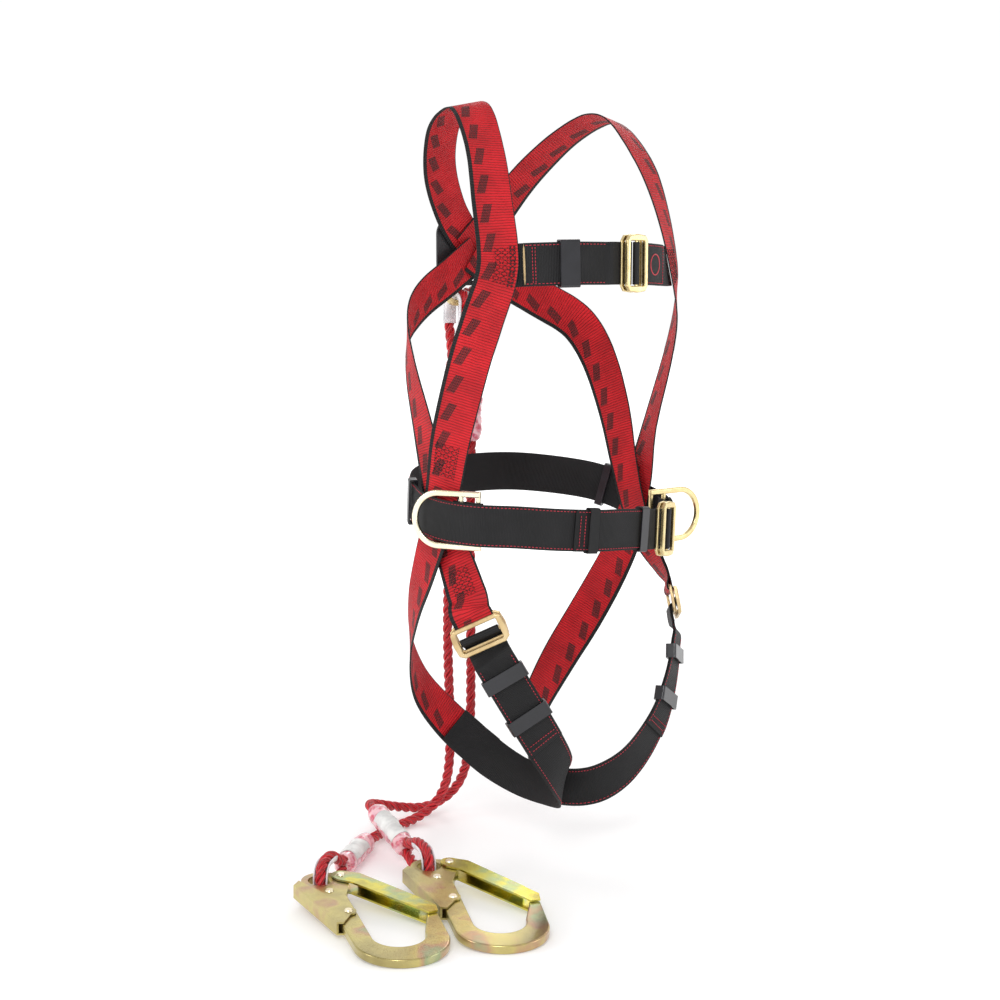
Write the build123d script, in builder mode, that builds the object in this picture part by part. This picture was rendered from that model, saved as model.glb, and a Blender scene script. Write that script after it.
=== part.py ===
"""Full-body safety harness with a work belt and a twin rope lanyard, as worn.

Origin: middle of the work belt at the wearer's waist.  +Z is up, the wearer
faces -Y and the wearer's right side is -X.  Millimetres.
"""
from build123d import *
import math
import os

os.makedirs("parts", exist_ok=True)

# ---------------------------------------------------------------- driving sizes
WEB_WIDTH = 45.0        # all straps
WEB_THICK = 1.6
LAYER_GAP = 0.3         # air between two layers of webbing
FIT = 0.3               # webbing to metal
STRAP_STEPS = 3         # sections between two points of a strap's route

BUCKLE_LENGTH = 32.0    # along the strap
WEB_PLAY = 2.4          # opening wider than the webbing
BUCKLE_RAIL = 7.3       # beside that opening
BUCKLE_HEIGHT = WEB_WIDTH + WEB_PLAY + 2 * BUCKLE_RAIL
BUCKLE_BAR = 5.0
FRAME_THICK = 3.0
PLATE_THICK = 4.0
CORE_BAR_WIDTH = 4.4    # inner bar that holds the webbing
CORE_BAR_THICK = 2.0
PLATE_SHIFT = 3.0       # the plate lies this far past the frame

KEEPER_WALL = 1.6
KEEPER_INSIDE = 7.6     # inner height, round two layers
LEG_KEEPER_INSIDE = 9.0
KEEPER_SIDE = 0.8       # air beside the webbing
SEWN_TAIL = 42.0
LOOSE_TAIL = 118.0
CHEST_TAIL = 94.0

RING_ROOM = 5.0         # side D-rings: inside, wider than the webbing
RING_BOW = 58.0         # pivot bar to the outside of the bow
RING_SLOT = 20.0        # pivot bar to end bar
RING_BAND = 6.5
RING_HEIGHT = WEB_WIDTH + RING_ROOM + 2 * RING_BAND
RING_THICK = 5.0
RING_RISE = 2.5         # the belt climbs towards the back inside the ring
RING_UNDER_BELT = 6.7   # pivot bar to the middle of the belt
RING_LEAN = 9.0
RING_LEFT_SWING = 55.0  # the left ring stands out from the belt

DORSAL_RING_WIDTH = 64.0
DORSAL_RING_DROP = 62.0  # pivot to the middle of the lower bar
RING_BAR_RADIUS = 3.5
DORSAL_PLATE_WIDTH = 96.0
DORSAL_PLATE_HEIGHT = 76.0
DORSAL_PLATE_THICK = 3.0
DORSAL_FACE = 130.2     # back of the crossing straps
DORSAL_HEIGHT = 296.0

ROPE = 12.0
SLEEVE = 26.0
SLEEVE_START = 80.0     # from the eye of the hook or ring
THIMBLE_WALL = 2.0
THIMBLE_WIDTH = 10.0
THIMBLE_FIT = 0.6       # rope to thimble
BAR_PLAY = 1.2          # thimble to the ring's lower bar

HOOK_PLATE = 9.0
HOOK_EYE = (3.0, 20.0)
HOOK_EYE_HOLE = 13.0
HOOK_EYE_RIM = 20.0
HOOK_SHEET = 2.0        # gate and lever are bent from this sheet
HOOK_GAP = 0.6
GATE_PIVOT = (26.0, 23.0)
LEVER_PIVOT = (11.0, -65.5)
HEAD_RIVET = (6.0, -8.0)
RIVET = 6.0
HOOK_TILT = 4.6         # eye end raised by the rope under it
FLOOR = -385.0


# ---------------------------------------------------------------- strap geometry
def smooth(route):
    """Points (x, y, z, nx, ny, nz) joined by an even curve: centres with normals."""
    rows = [route[0]] + list(route) + [route[-1]]
    frames = []
    for i in range(1, len(rows) - 2):
        before, here, there, after = rows[i - 1], rows[i], rows[i + 1], rows[i + 2]
        for step in range(STRAP_STEPS):
            t = step / STRAP_STEPS
            values = []
            for a, b, c, d in zip(before, here, there, after):
                bend = (2 * a - 5 * b + 4 * c - d) * t * t + (3 * b - a - 3 * c + d) * t ** 3
                values.append(0.5 * (2 * b + (c - a) * t + bend))
            frames.append((Vector(*values[:3]), Vector(*values[3:]).normalized()))
    last = rows[-1]
    frames.append((Vector(*last[:3]), Vector(*last[3:]).normalized()))
    return frames


def lifted(frames, height):
    """The same strap path, one layer further out (or in, below zero)."""
    return [(centre + normal * height, normal) for centre, normal in frames]


def distances(frames):
    """Distance of each frame from the first, along the path."""
    run = [0.0]
    for (a, _), (b, _) in zip(frames, frames[1:]):
        run.append(run[-1] + (b - a).length)
    return run


def frame_at(frames, distance):
    run = distances(frames)
    i = max(k for k in range(len(run) - 1) if run[k] <= max(distance, 0.0))
    share = (distance - run[i]) / (run[i + 1] - run[i])
    centre = frames[i][0] * (1 - share) + frames[i + 1][0] * share
    normal = frames[i][1] * (1 - share) + frames[i + 1][1] * share
    return centre, normal.normalized()


def stretch(frames, start, end):
    """The part of a path between two distances."""
    run = distances(frames)
    inner = [f for f, d in zip(frames, run) if start + 4 < d < end - 4]
    return [frame_at(frames, start)] + inner + [frame_at(frames, end)]


def place_at(frames, distance):
    """A plane on the strap: x along it, z outward."""
    centre, normal = frame_at(frames, distance)
    ahead, _ = frame_at(frames, distance + 4)
    behind, _ = frame_at(frames, distance - 4)
    return Plane(origin=centre, x_dir=(ahead - behind).normalized(), z_dir=normal)


def flat_path(place, points):
    """Points (x, z) in a plane across a buckle, as centres with normals."""
    frames = []
    side = 1 if points[1][0] > points[0][0] else -1
    for i, (x, z) in enumerate(points):
        x0, z0 = points[max(i - 1, 0)]
        x1, z1 = points[min(i + 1, len(points) - 1)]
        length = math.hypot(x1 - x0, z1 - z0)
        nx = -side * (z1 - z0) / length
        nz = side * (x1 - x0) / length
        centre = place.origin + place.x_dir * x + place.z_dir * z
        frames.append((centre, place.x_dir * nx + place.z_dir * nz))
    return frames


def arc(cx, cz, radius, start, end, count=6):
    turns = [math.radians(start + (end - start) * i / count) for i in range(count + 1)]
    return [(cx + radius * math.cos(a), cz + radius * math.sin(a)) for a in turns]


def strap_planes(frames):
    """One cross-section plane for each frame: x across the strap, y outward."""
    planes = []
    for i, (centre, normal) in enumerate(frames):
        before = frames[max(i - 1, 0)][0]
        after = frames[min(i + 1, len(frames) - 1)][0]
        tangent = (after - before).normalized()
        across = normal.cross(tangent).normalized()
        planes.append(Plane(origin=centre, x_dir=across, z_dir=tangent))
    return planes


def webbing(label, frames, width=WEB_WIDTH, thick=WEB_THICK):
    with BuildPart() as strap:
        for plane in strap_planes(frames):
            with BuildSketch(plane):
                Rectangle(width, thick)
        loft(ruled=True)
    strap.part.label = label
    export_step(strap.part, f"parts/{label}.step")
    return strap.part


def save(build, label):
    build.part.label = label
    export_step(build.part, f"parts/{label}.step")


LAYER = WEB_THICK + LAYER_GAP

# ---------------------------------------------------------------- routes of the straps
# each point: x, y, z and the outward normal of the strap's face
SHOULDER_RIGHT = [
    (7, 128, 296, -0.05, 1, 0.1), (-30, 124, 336, -0.15, 0.95, 0.3), (-65, 104, 388, -0.2, 0.75, 0.65),
    (-90, 62, 436, -0.2, 0.35, 0.95), (-98, 14, 449, -0.2, -0.15, 0.98), (-110, -26, 405, -0.2, -0.8, 0.6),
    (-118, -48, 348, -0.35, -0.92, 0.2), (-122, -62, 280, -0.45, -0.9, 0), (-133, -52, 228, -0.6, -0.8, -0.05),
    (-141, -38, 180, -0.72, -0.68, -0.05), (-147, -15, 101, -0.85, -0.5, 0), (-146.8, -1, 45, -0.96, -0.27, 0),
    (-147.5, 10, 8, -0.99, -0.14, 0)]
SHOULDER_LEFT = [
    (-7, 126, 296, 0.05, 1, 0.1), (30, 122, 336, 0.15, 0.95, 0.3), (68, 104, 388, 0.2, 0.75, 0.65),
    (98, 62, 433, 0.2, 0.35, 0.95), (110, 14, 445, 0.2, -0.15, 0.98), (119, -28, 402, 0.25, -0.8, 0.6),
    (126, -52, 348, 0.4, -0.9, 0.2), (133, -67, 280, 0.55, -0.83, 0), (145, -60, 232, 0.75, -0.66, -0.05),
    (150, -44, 180, 0.82, -0.57, -0.05), (150, -17, 101, 0.88, -0.47, 0), (150.5, -1, 42, 0.98, -0.15, 0),
    (150.5, 10, 6, 1, 0, 0)]
BACK_RIGHT = [
    (4, 123.5, 294, 0, 1, 0.1), (-38, 120, 268, -0.15, 0.98, 0.05), (-88, 107, 242, -0.45, 0.88, 0),
    (-126, 84, 214, -0.75, 0.65, 0), (-141, 62, 172, -0.9, 0.42, 0), (-144, 38, 112, -0.97, 0.2, 0),
    (-142, 21, 55, -1, 0, 0), (-141, 6, 6, -1, -0.12, 0), (-138, -13, -37, -0.94, -0.32, 0.1),
    (-138, -32, -72, -0.85, -0.5, 0.15)]
BACK_LEFT = [
    (-4, 118.6, 294, 0, 1, 0.1), (38, 116, 268, 0.15, 0.98, 0.05), (88, 107, 242, 0.45, 0.88, 0),
    (126, 84, 214, 0.75, 0.65, 0), (141, 62, 172, 0.9, 0.42, 0), (144, 38, 112, 0.97, 0.2, 0),
    (143, 21, 55, 1, 0, 0), (143.5, 6, 6, 1, -0.12, 0), (146.5, -13, -36, 0.97, -0.24, 0.1),
    (155, -35, -72, 0.85, -0.5, 0.15)]
PELVIC_RIGHT = [
    (-149, 13.5, -9, -1, 0, 0), (-149.5, 30, -48, -0.98, 0.16, -0.05), (-146, 52, -92, -0.9, 0.4, -0.05),
    (-132, 76, -142, -0.75, 0.65, -0.05), (-104, 92, -194, -0.4, 0.9, -0.1), (-64, 88, -242, 0.1, 0.98, -0.15),
    (-30, 64, -280, 0.6, 0.78, -0.15)]
PELVIC_LEFT = [
    (152.6, 13.5, -9, 0.99, 0.12, 0), (152.5, 30, -48, 0.98, 0.18, -0.05), (146, 52, -92, 0.9, 0.4, -0.05),
    (132, 76, -142, 0.75, 0.65, -0.05), (104, 92, -194, 0.4, 0.9, -0.1), (64, 88, -242, -0.1, 0.98, -0.15),
    (30, 64, -280, -0.6, 0.78, -0.15)]
LEG_RIGHT = [
    (-123, -55, -134, -0.68, -0.72, 0.1), (-100, -67, -178, -0.55, -0.83, 0.05), (-72, -76, -226, -0.35, -0.93, 0),
    (-40, -72, -270, 0.1, -0.98, -0.1), (-14, -46, -298, 0.75, -0.65, -0.1), (-5, -6, -306, 0.99, 0, -0.1),
    (-10, 32, -302, 0.9, 0.4, -0.15), (-31.5, 60, -281, 0.6, 0.78, -0.15), (-63, 84, -243, 0.1, 0.98, -0.15)]
LEG_LEFT = [
    (150, -62, -140, 0.6, -0.8, 0.1), (134, -70, -186, 0.5, -0.86, 0.05), (108, -74, -236, 0.3, -0.95, 0),
    (70, -68, -280, -0.05, -0.98, -0.1), (32, -52, -302, -0.6, -0.78, -0.1), (9, -14, -308, -0.97, -0.2, -0.1),
    (10, 30, -303, -0.9, 0.4, -0.15), (31.5, 60, -281, -0.6, 0.78, -0.15), (63, 84, -243, -0.1, 0.98, -0.15)]
CHEST = [
    (-117.3, -58.6, 280, -0.45, -0.9, 0.12), (-99.3, -67.6, 281, -0.45, -0.9, 0.08), (-80, -82, 282, -0.45, -0.9, 0),
    (-46, -98, 283, -0.28, -0.96, 0), (-8, -107, 283, -0.1, -1, 0), (32, -107, 283, 0.1, -1, 0),
    (64, -98, 282, 0.25, -0.97, 0), (90, -87.5, 281, 0.4, -0.92, 0), (111.4, -73.1, 280, 0.55, -0.83, 0.15),
    (128.4, -60.7, 280, 0.55, -0.83, 0.2)]
BELT = [
    (112, -79, -12, 0.42, -0.91, 0), (94, -87, -11, 0.35, -0.94, 0), (60, -99, -7, 0.2, -0.98, 0),
    (20, -107, -3, 0.05, -1, 0), (-25, -107, 0, -0.1, -1, 0), (-70, -97, 4, -0.3, -0.95, 0),
    (-108, -78, 8, -0.55, -0.83, 0), (-139.5, -56, 10, -0.87, -0.5, 0), (-151, -31, 11, -0.96, -0.27, 0),
    (-156, -4, 13, -1, -0.06, 0), (-156, 22, 17, -0.99, 0.12, 0), (-148, 46, 23, -0.93, 0.37, 0),
    (-134, 72, 29, -0.8, 0.6, 0), (-103, 99, 35, -0.5, 0.87, 0), (-55, 117, 39, -0.2, 0.98, 0),
    (0, 122, 41, 0, 1, 0), (55, 117, 39, 0.2, 0.98, 0), (103, 99, 33, 0.5, 0.87, 0),
    (136, 72, 26, 0.8, 0.6, 0), (151, 46, 18, 0.93, 0.37, 0), (157, 20, 9, 0.99, 0.12, 0),
    (158.5, -8, 2, 0.99, -0.1, 0), (154, -36, -4, 0.93, -0.37, 0), (138, -62, -9, 0.7, -0.71, 0),
    (112, -79, -12, 0.42, -0.91, 0)]

shoulder_right = smooth(SHOULDER_RIGHT)
shoulder_left = smooth(SHOULDER_LEFT)
chest = smooth(CHEST)
belt = smooth(BELT)
leg_right = smooth(LEG_RIGHT)
leg_left = smooth(LEG_LEFT)

# distances along the routes
CHEST_BUCKLE_AT = 150.0
BELT_BUCKLE_AT = 20.0
RING_RIGHT_AT = distances(belt)[8 * STRAP_STEPS]
RING_LEFT_AT = distances(belt)[23 * STRAP_STEPS] - 12
SLIDER_RIGHT_AT = distances(belt)[11 * STRAP_STEPS] + 12
SLIDER_LEFT_AT = distances(belt)[19 * STRAP_STEPS] - 12
chest_place = place_at(chest, CHEST_BUCKLE_AT)
belt_length = distances(belt)[-1]

DORSAL_PIVOT = Vector(0, DORSAL_FACE + DORSAL_PLATE_THICK + RING_BAR_RADIUS + 4, 300)
DORSAL_RING_PLANE = Plane(origin=DORSAL_PIVOT, x_dir=(-1, 0, 0), z_dir=(0, 1, 0))

# ---------------------------------------------------------------- levels in a buckle
HALF_OPEN = BUCKLE_LENGTH / 2 - BUCKLE_BAR          # bar edge to the middle of the frame
OUTER_LEVEL = -(FIT + WEB_THICK / 2)                # layers that pass under the bars
INNER_LEVEL = OUTER_LEVEL - LAYER
CORE_TURN = CORE_BAR_THICK / 2 + FIT + WEB_THICK / 2
BAR_TURN = FRAME_THICK / 2 + FIT + WEB_THICK / 2
PLATE_BASE = FRAME_THICK / 2 + BAR_TURN + WEB_THICK / 2 + FIT
PLATE_CORE = PLATE_BASE + CORE_BAR_THICK / 2
CORE_END = (CORE_BAR_WIDTH - CORE_BAR_THICK) / 2    # centre of the rounded edge
FRAME_CORE = -3.5
BUCKLE_REACH = 26.0                                 # where a strap leaves the buckle's plane


def plate_thread():
    """Webbing round the plate's inner bar, outer layer first, from +x."""
    path = [(BUCKLE_REACH, OUTER_LEVEL), (HALF_OPEN + 1.4, OUTER_LEVEL), (HALF_OPEN - 1.2, OUTER_LEVEL + 0.3)]
    path += arc(PLATE_SHIFT + CORE_END, PLATE_CORE, CORE_TURN, 0, 90, 3)
    path += arc(PLATE_SHIFT - CORE_END, PLATE_CORE, CORE_TURN, 90, 270)
    path += [(PLATE_SHIFT + CORE_END, PLATE_CORE - CORE_TURN), (HALF_OPEN - 3, INNER_LEVEL + 0.4)]
    return path + [(HALF_OPEN, INNER_LEVEL), (BUCKLE_REACH, INNER_LEVEL)]


def frame_thread():
    """Webbing round the frame's inner bar, outer layer first, from -x."""
    middle = CORE_BAR_THICK / 2
    path = [(-BUCKLE_REACH, OUTER_LEVEL), (-HALF_OPEN - 1.4, OUTER_LEVEL), (-HALF_OPEN + 1.2, OUTER_LEVEL + 0.25)]
    path += arc(FRAME_CORE - CORE_END, middle, CORE_TURN, 180, 90, 3)
    path += arc(FRAME_CORE + CORE_END, middle, CORE_TURN, 90, -90)
    return path + [(-HALF_OPEN + 3.4, INNER_LEVEL + 0.25), (-HALF_OPEN, INNER_LEVEL), (-BUCKLE_REACH, INNER_LEVEL)]


def side_bar_thread():
    """Webbing sewn round the frame's outer bar, outer layer first, from -x."""
    middle = FRAME_THICK / 2
    bar = -HALF_OPEN - middle
    path = [(-BUCKLE_REACH, middle + BAR_TURN - 0.5), (bar - 6, middle + BAR_TURN)]
    path += arc(bar, middle, BAR_TURN, 90, -90)
    return path + [(bar - 4, middle - BAR_TURN), (-BUCKLE_REACH + 1, middle + BAR_TURN - 0.5 - LAYER)]


def flipped(frames):
    return [(centre, normal * -1) for centre, normal in frames]


def backward(frames):
    return list(reversed(frames))


# ---------------------------------------------------------------- hardware on the straps
def bar_across(place, x, z, width, thick, length):
    """A flat bar with rounded edges, lying across the strap."""
    with BuildSketch(Plane(origin=place.origin, x_dir=place.x_dir, z_dir=place.y_dir)) as section:
        with Locations((x, -z)):
            RectangleRounded(width, thick, thick / 2 - 0.02)
    extrude(section.sketch, amount=length / 2, both=True)


def buckle_ring(place, base, thick, shift):
    """Stamped ring: bowed ends, one opening as wide as the webbing."""
    half = BUCKLE_HEIGHT / 2
    middle = Plane(origin=place.origin + place.x_dir * shift + place.z_dir * base, x_dir=place.x_dir, z_dir=place.z_dir)
    with BuildSketch(middle) as outline:
        with BuildLine():
            Polyline((-BUCKLE_LENGTH / 2, -half + 7), (-BUCKLE_LENGTH / 2, half - 7),
                     (-BUCKLE_LENGTH / 2 + 4, half - 1.5), (0, half), (BUCKLE_LENGTH / 2 - 4, half - 1.5),
                     (BUCKLE_LENGTH / 2, half - 7), (BUCKLE_LENGTH / 2, -half + 7),
                     (BUCKLE_LENGTH / 2 - 4, -half + 1.5), (0, -half), (-BUCKLE_LENGTH / 2 + 4, -half + 1.5),
                     close=True)
        make_face()
        RectangleRounded(2 * HALF_OPEN, WEB_WIDTH + WEB_PLAY, 1.5, mode=Mode.SUBTRACT)
    extrude(outline.sketch, amount=thick)


def soften(part, place, radius, both=False):
    """Rounds the rim of the outermost flat face, or of both."""
    flats = part.faces().filter_by(GeomType.PLANE).sort_by(Axis(place.origin, place.z_dir))
    rims = flats[-1].edges() + flats[0].edges() if both else flats[-1].edges()
    fillet(rims, radius)


def buckle(name, place, inner_bar):
    """The frame and the plate that passes through it and lies over it."""
    with BuildPart() as frame:
        buckle_ring(place, 0, FRAME_THICK, 0)
        soften(frame, place, 1.1, both=True)
        if inner_bar:
            bar_across(place, FRAME_CORE, CORE_BAR_THICK / 2, CORE_BAR_WIDTH, CORE_BAR_THICK, WEB_WIDTH + 6)
    save(frame, f"{name}_buckle_frame")
    with BuildPart() as plate:
        buckle_ring(place, PLATE_BASE, PLATE_THICK, PLATE_SHIFT)
        soften(plate, place, 1.4)
        bar_across(place, PLATE_SHIFT, PLATE_CORE, CORE_BAR_WIDTH, CORE_BAR_THICK, WEB_WIDTH + 6)
    save(plate, f"{name}_buckle_plate")


def keeper(name, place, length, wall=KEEPER_WALL, inside=KEEPER_INSIDE, lift=LAYER / 2):
    """A loop round both layers of a strap."""
    with BuildPart() as loop:
        section = Plane(origin=place.origin + place.z_dir * lift, x_dir=place.y_dir, z_dir=place.x_dir)
        with BuildSketch(section):
            RectangleRounded(WEB_WIDTH + 2 * KEEPER_SIDE + 2 * wall, inside + 2 * wall, 2.4)
            RectangleRounded(WEB_WIDTH + 2 * KEEPER_SIDE, inside, 1.2, mode=Mode.SUBTRACT)
        extrude(amount=length / 2, both=True)
    save(loop, name)


def ring_place(place, swing):
    """Side ring: origin on the pivot bar, +x to the end bar, bow towards -x."""
    centre = place.origin - place.z_dir * RING_UNDER_BELT + Vector(0, 0, RING_RISE)
    angle = math.radians(swing)
    x_dir = place.x_dir * math.cos(angle) - place.z_dir * math.sin(angle)
    return Plane(origin=centre, x_dir=x_dir, z_dir=x_dir.cross(place.y_dir))


def hip_ring(name, place):
    """D-ring with a pivot bar and an end bar that form a slot for webbing."""
    half = RING_HEIGHT / 2
    inner = half - RING_BAND
    bend = RING_BOW - half
    with BuildPart() as ring:
        with BuildSketch(place.offset(-RING_THICK / 2)):
            with BuildLine():
                Line((RING_SLOT + 2.5, -half), (-bend, -half))
                ThreePointArc((-bend, -half), (-bend - half, 0), (-bend, half))
                Polyline((-bend, half), (RING_SLOT + 2.5, half), (RING_SLOT + 2.5, inner), (-bend, inner))
                ThreePointArc((-bend, inner), (-bend - inner, 0), (-bend, -inner))
                Polyline((-bend, -inner), (RING_SLOT + 2.5, -inner), (RING_SLOT + 2.5, -half))
            make_face()
        extrude(amount=RING_THICK)
        soften(ring, place, 1.6, both=True)
        bars = Plane(origin=place.origin, x_dir=place.x_dir, z_dir=place.y_dir)
        with BuildSketch(bars):
            Circle(RING_THICK / 2)
            with Locations((RING_SLOT, 0)):
                RectangleRounded(5, 4, 1.9)
        extrude(amount=inner + 3, both=True)
    save(ring, name)


# ---------------------------------------------------------------- straps
def build_body_straps():
    webbing("shoulder_strap_right", shoulder_right)
    webbing("shoulder_strap_left", shoulder_left)
    webbing("pelvic_strap_right", smooth(PELVIC_RIGHT))
    webbing("pelvic_strap_left", smooth(PELVIC_LEFT))


def leg_buckle_place(side):
    if side == "right":
        return Plane(origin=(-131.5, -43.5, -106), x_dir=(0.28, -0.327, -0.902), z_dir=(-0.76, -0.65, 0))
    return Plane(origin=(152, -48.5, -106), x_dir=(-0.08, -0.356, -0.93), z_dir=(0.78, -0.62, 0.17))


def build_leg(side, back_route, leg_path):
    """Thigh end of the back strap, buckle, adjustable leg strap and its keepers."""
    place = leg_buckle_place(side)
    back = smooth(back_route)
    total = distances(back)[-1]
    sewn = backward(lifted(stretch(back, total - SEWN_TAIL, total - 2), -LAYER))
    webbing(f"back_strap_{side}", back + flat_path(place, side_bar_thread()) + flipped(sewn))
    buckle(f"leg_{side}", place, inner_bar=False)
    tail = backward(lifted(stretch(leg_path, 2, LOOSE_TAIL), LAYER))
    standing = flipped(stretch(leg_path, 2, distances(leg_path)[-1]))
    webbing(f"leg_strap_{side}", tail + flat_path(place, plate_thread()) + standing)
    keeper(f"leg_keeper_upper_{side}", place_at(leg_path, 26), 16, inside=LEG_KEEPER_INSIDE)
    keeper(f"leg_keeper_lower_{side}", place_at(leg_path, 78), 16, inside=LEG_KEEPER_INSIDE)


def build_chest():
    """Chest strap in two halves with a buckle between them."""
    place = chest_place.offset(-INNER_LEVEL)
    buckle("chest", place, inner_bar=True)
    near = CHEST_BUCKLE_AT - BUCKLE_REACH - 4
    far = CHEST_BUCKLE_AT + BUCKLE_REACH + 4
    under = lifted(chest, 0)
    tail = lifted(stretch(under, near - CHEST_TAIL, near), LAYER)
    standing = backward(flipped(stretch(under, 4, near)))
    webbing("chest_strap_right", tail + flat_path(place, frame_thread()) + standing)
    full = distances(under)[-1]
    outer = backward(lifted(stretch(under, far, full - 4), LAYER))
    sewn = flipped(stretch(under, far, far + SEWN_TAIL))
    webbing("chest_strap_left", outer + flat_path(place, plate_thread()) + sewn)
    keeper("chest_keeper", place_at(under, 74), 22)


def build_belt():
    """Work belt: one webbing from the frame round the waist to the plate."""
    at = place_at(belt, BELT_BUCKLE_AT)
    place = Plane(origin=at.origin, x_dir=at.x_dir * -1, z_dir=at.z_dir).offset(-INNER_LEVEL)
    buckle("belt", place, inner_bar=True)
    near = BELT_BUCKLE_AT + BUCKLE_REACH + 4
    far = belt_length + BELT_BUCKLE_AT - BUCKLE_REACH - 4
    tail = backward(lifted(stretch(belt, near, near + LOOSE_TAIL), LAYER))
    waist = flipped(stretch(belt, near, far))
    ending = flipped(flat_path(place, backward(plate_thread())))
    sewn = backward(lifted(stretch(belt, far - SEWN_TAIL, far), LAYER))
    webbing("belt_webbing", tail + flat_path(place, frame_thread()) + waist + ending + sewn)
    keeper("belt_keeper_elastic", place_at(belt, near + 96), 12, wall=1.2)
    keeper("belt_keeper_plastic", place_at(belt, near + 16), 13)
    keeper("belt_loop_right", place_at(belt, SLIDER_RIGHT_AT), 9, wall=2.5, inside=5.0, lift=0)
    keeper("belt_loop_left", place_at(belt, SLIDER_LEFT_AT), 9, wall=2.5, inside=5.0, lift=0)


def build_hip_rings():
    """Side rings, each held by a short webbing through its slot."""
    for side, at, swing in (("right", RING_RIGHT_AT, RING_LEAN), ("left", RING_LEFT_AT, RING_LEFT_SWING)):
        on_belt = place_at(belt, at)
        towards_front = -1 if side == "right" else 1
        ahead = Vector(on_belt.x_dir.X, on_belt.x_dir.Y, 0) * towards_front
        base = Plane(origin=on_belt.origin, x_dir=ahead, z_dir=on_belt.z_dir)
        hip_ring(f"hip_ring_{side}", ring_place(base, swing))
        pivot = Plane(origin=base.origin - base.z_dir * RING_UNDER_BELT, x_dir=base.x_dir, z_dir=base.z_dir)
        under = -(RING_THICK / 2 + FIT + WEB_THICK / 2)
        over = 2 + FIT + WEB_THICK / 2 - RING_SLOT * math.sin(math.radians(RING_LEAN))
        strap = flat_path(pivot, [(-13, under), (0, under), (7, under + 0.6), (15, over - 0.6),
                                  (RING_SLOT, over), (27, over - 1.4)])
        webbing(f"hip_ring_loop_{side}", strap)


# ---------------------------------------------------------------- dorsal plate and ring
def build_dorsal():
    """Moulded plate that holds the crossing straps, with the fall-arrest ring."""
    plate_place = Plane(origin=(0, DORSAL_FACE, DORSAL_HEIGHT), x_dir=(-1, 0, 0), z_dir=(0, 1, 0))
    across = Plane(origin=DORSAL_PIVOT, x_dir=(0, 1, 0), z_dir=(1, 0, 0))
    lug = RING_BAR_RADIUS + 3
    with BuildPart() as plate:
        with BuildSketch(plate_place):
            RectangleRounded(DORSAL_PLATE_WIDTH, DORSAL_PLATE_HEIGHT, 18)
            with Locations((0, 28), (0, -30)):
                SlotOverall(52, 5, mode=Mode.SUBTRACT)
        extrude(amount=DORSAL_PLATE_THICK)
        soften(plate, plate_place, 1.0)
        for x in (-19, 19):
            with BuildSketch(across.offset(x)):
                Circle(lug)
                with Locations((-lug / 2 - 1.4, 0)):
                    Rectangle(lug, 2 * lug)
                Circle(RING_BAR_RADIUS + FIT / 3, mode=Mode.SUBTRACT)
            extrude(amount=4, both=True)
    save(plate, "dorsal_plate")
    with BuildPart() as ring:
        with BuildSketch(DORSAL_RING_PLANE.offset(-RING_THICK / 2)):
            inside = DORSAL_RING_WIDTH - 4 * RING_BAR_RADIUS
            with Locations((0, -DORSAL_RING_DROP / 2)):
                RectangleRounded(DORSAL_RING_WIDTH, DORSAL_RING_DROP + 2 * RING_BAR_RADIUS, 20)
            with Locations((0, -11)):
                Rectangle(DORSAL_RING_WIDTH, 22 + 2 * RING_BAR_RADIUS)
            with Locations((0, -DORSAL_RING_DROP / 2)):
                RectangleRounded(inside, DORSAL_RING_DROP - 2 * RING_BAR_RADIUS, 13, mode=Mode.SUBTRACT)
            with Locations((0, -11)):
                Rectangle(inside, 22 + 2 * RING_BAR_RADIUS, mode=Mode.SUBTRACT)
        extrude(amount=RING_THICK)
        soften(ring, DORSAL_RING_PLANE, 1.2, both=True)
        with BuildSketch(across):
            Circle(RING_BAR_RADIUS)
        extrude(amount=inside / 2 + 2, both=True)
    save(ring, "dorsal_ring")


# ---------------------------------------------------------------- lanyard
def rope_eye(name, place, exit_level, low, high):
    """Spliced eye and its thimble: origin where the rope crosses the plane, x to the sleeve."""
    middle = (low + high) / 2
    turn = (high - low) / 2 - 0.5
    lay = Plane(origin=place.origin, x_dir=place.x_dir, z_dir=place.y_dir)
    route = [(SLEEVE_START + 4, -exit_level - ROPE / 2), (50, -high), (0, -high), (0, -low),
             (50, -low), (SLEEVE_START + 4, -exit_level + ROPE / 2)]
    with BuildPart() as eye:
        with BuildLine(lay) as path:
            FilletPolyline(*route, radius=[24, turn, turn, 24])
        with BuildSketch(Plane(origin=path.line @ 0, z_dir=path.line % 0)):
            Circle(ROPE / 2)
        sweep(path=path.line)
    save(eye, f"{name}_eye")
    with BuildPart() as thimble:
        outer = high - low - ROPE - 2 * THIMBLE_FIT
        with BuildSketch(lay):
            with Locations((outer / 2 + ROPE / 2 + THIMBLE_FIT + 14, -middle)):
                SlotOverall(outer + 28, outer)
                SlotOverall(outer + 28 - 2 * THIMBLE_WALL, outer - 2 * THIMBLE_WALL, mode=Mode.SUBTRACT)
        extrude(amount=THIMBLE_WIDTH / 2, both=True)
    save(thimble, f"{name}_thimble")


def sleeve(name, start, end):
    """Clear shrink sleeve over the splice, with rounded ends."""
    direction = Vector(*end) - Vector(*start)
    with BuildPart() as tube:
        with BuildSketch(Plane(origin=start, z_dir=direction)):
            Circle(SLEEVE / 2)
        extrude(amount=direction.length)
        fillet(tube.edges().filter_by(GeomType.CIRCLE), 3)
    save(tube, f"{name}_sleeve")


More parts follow.
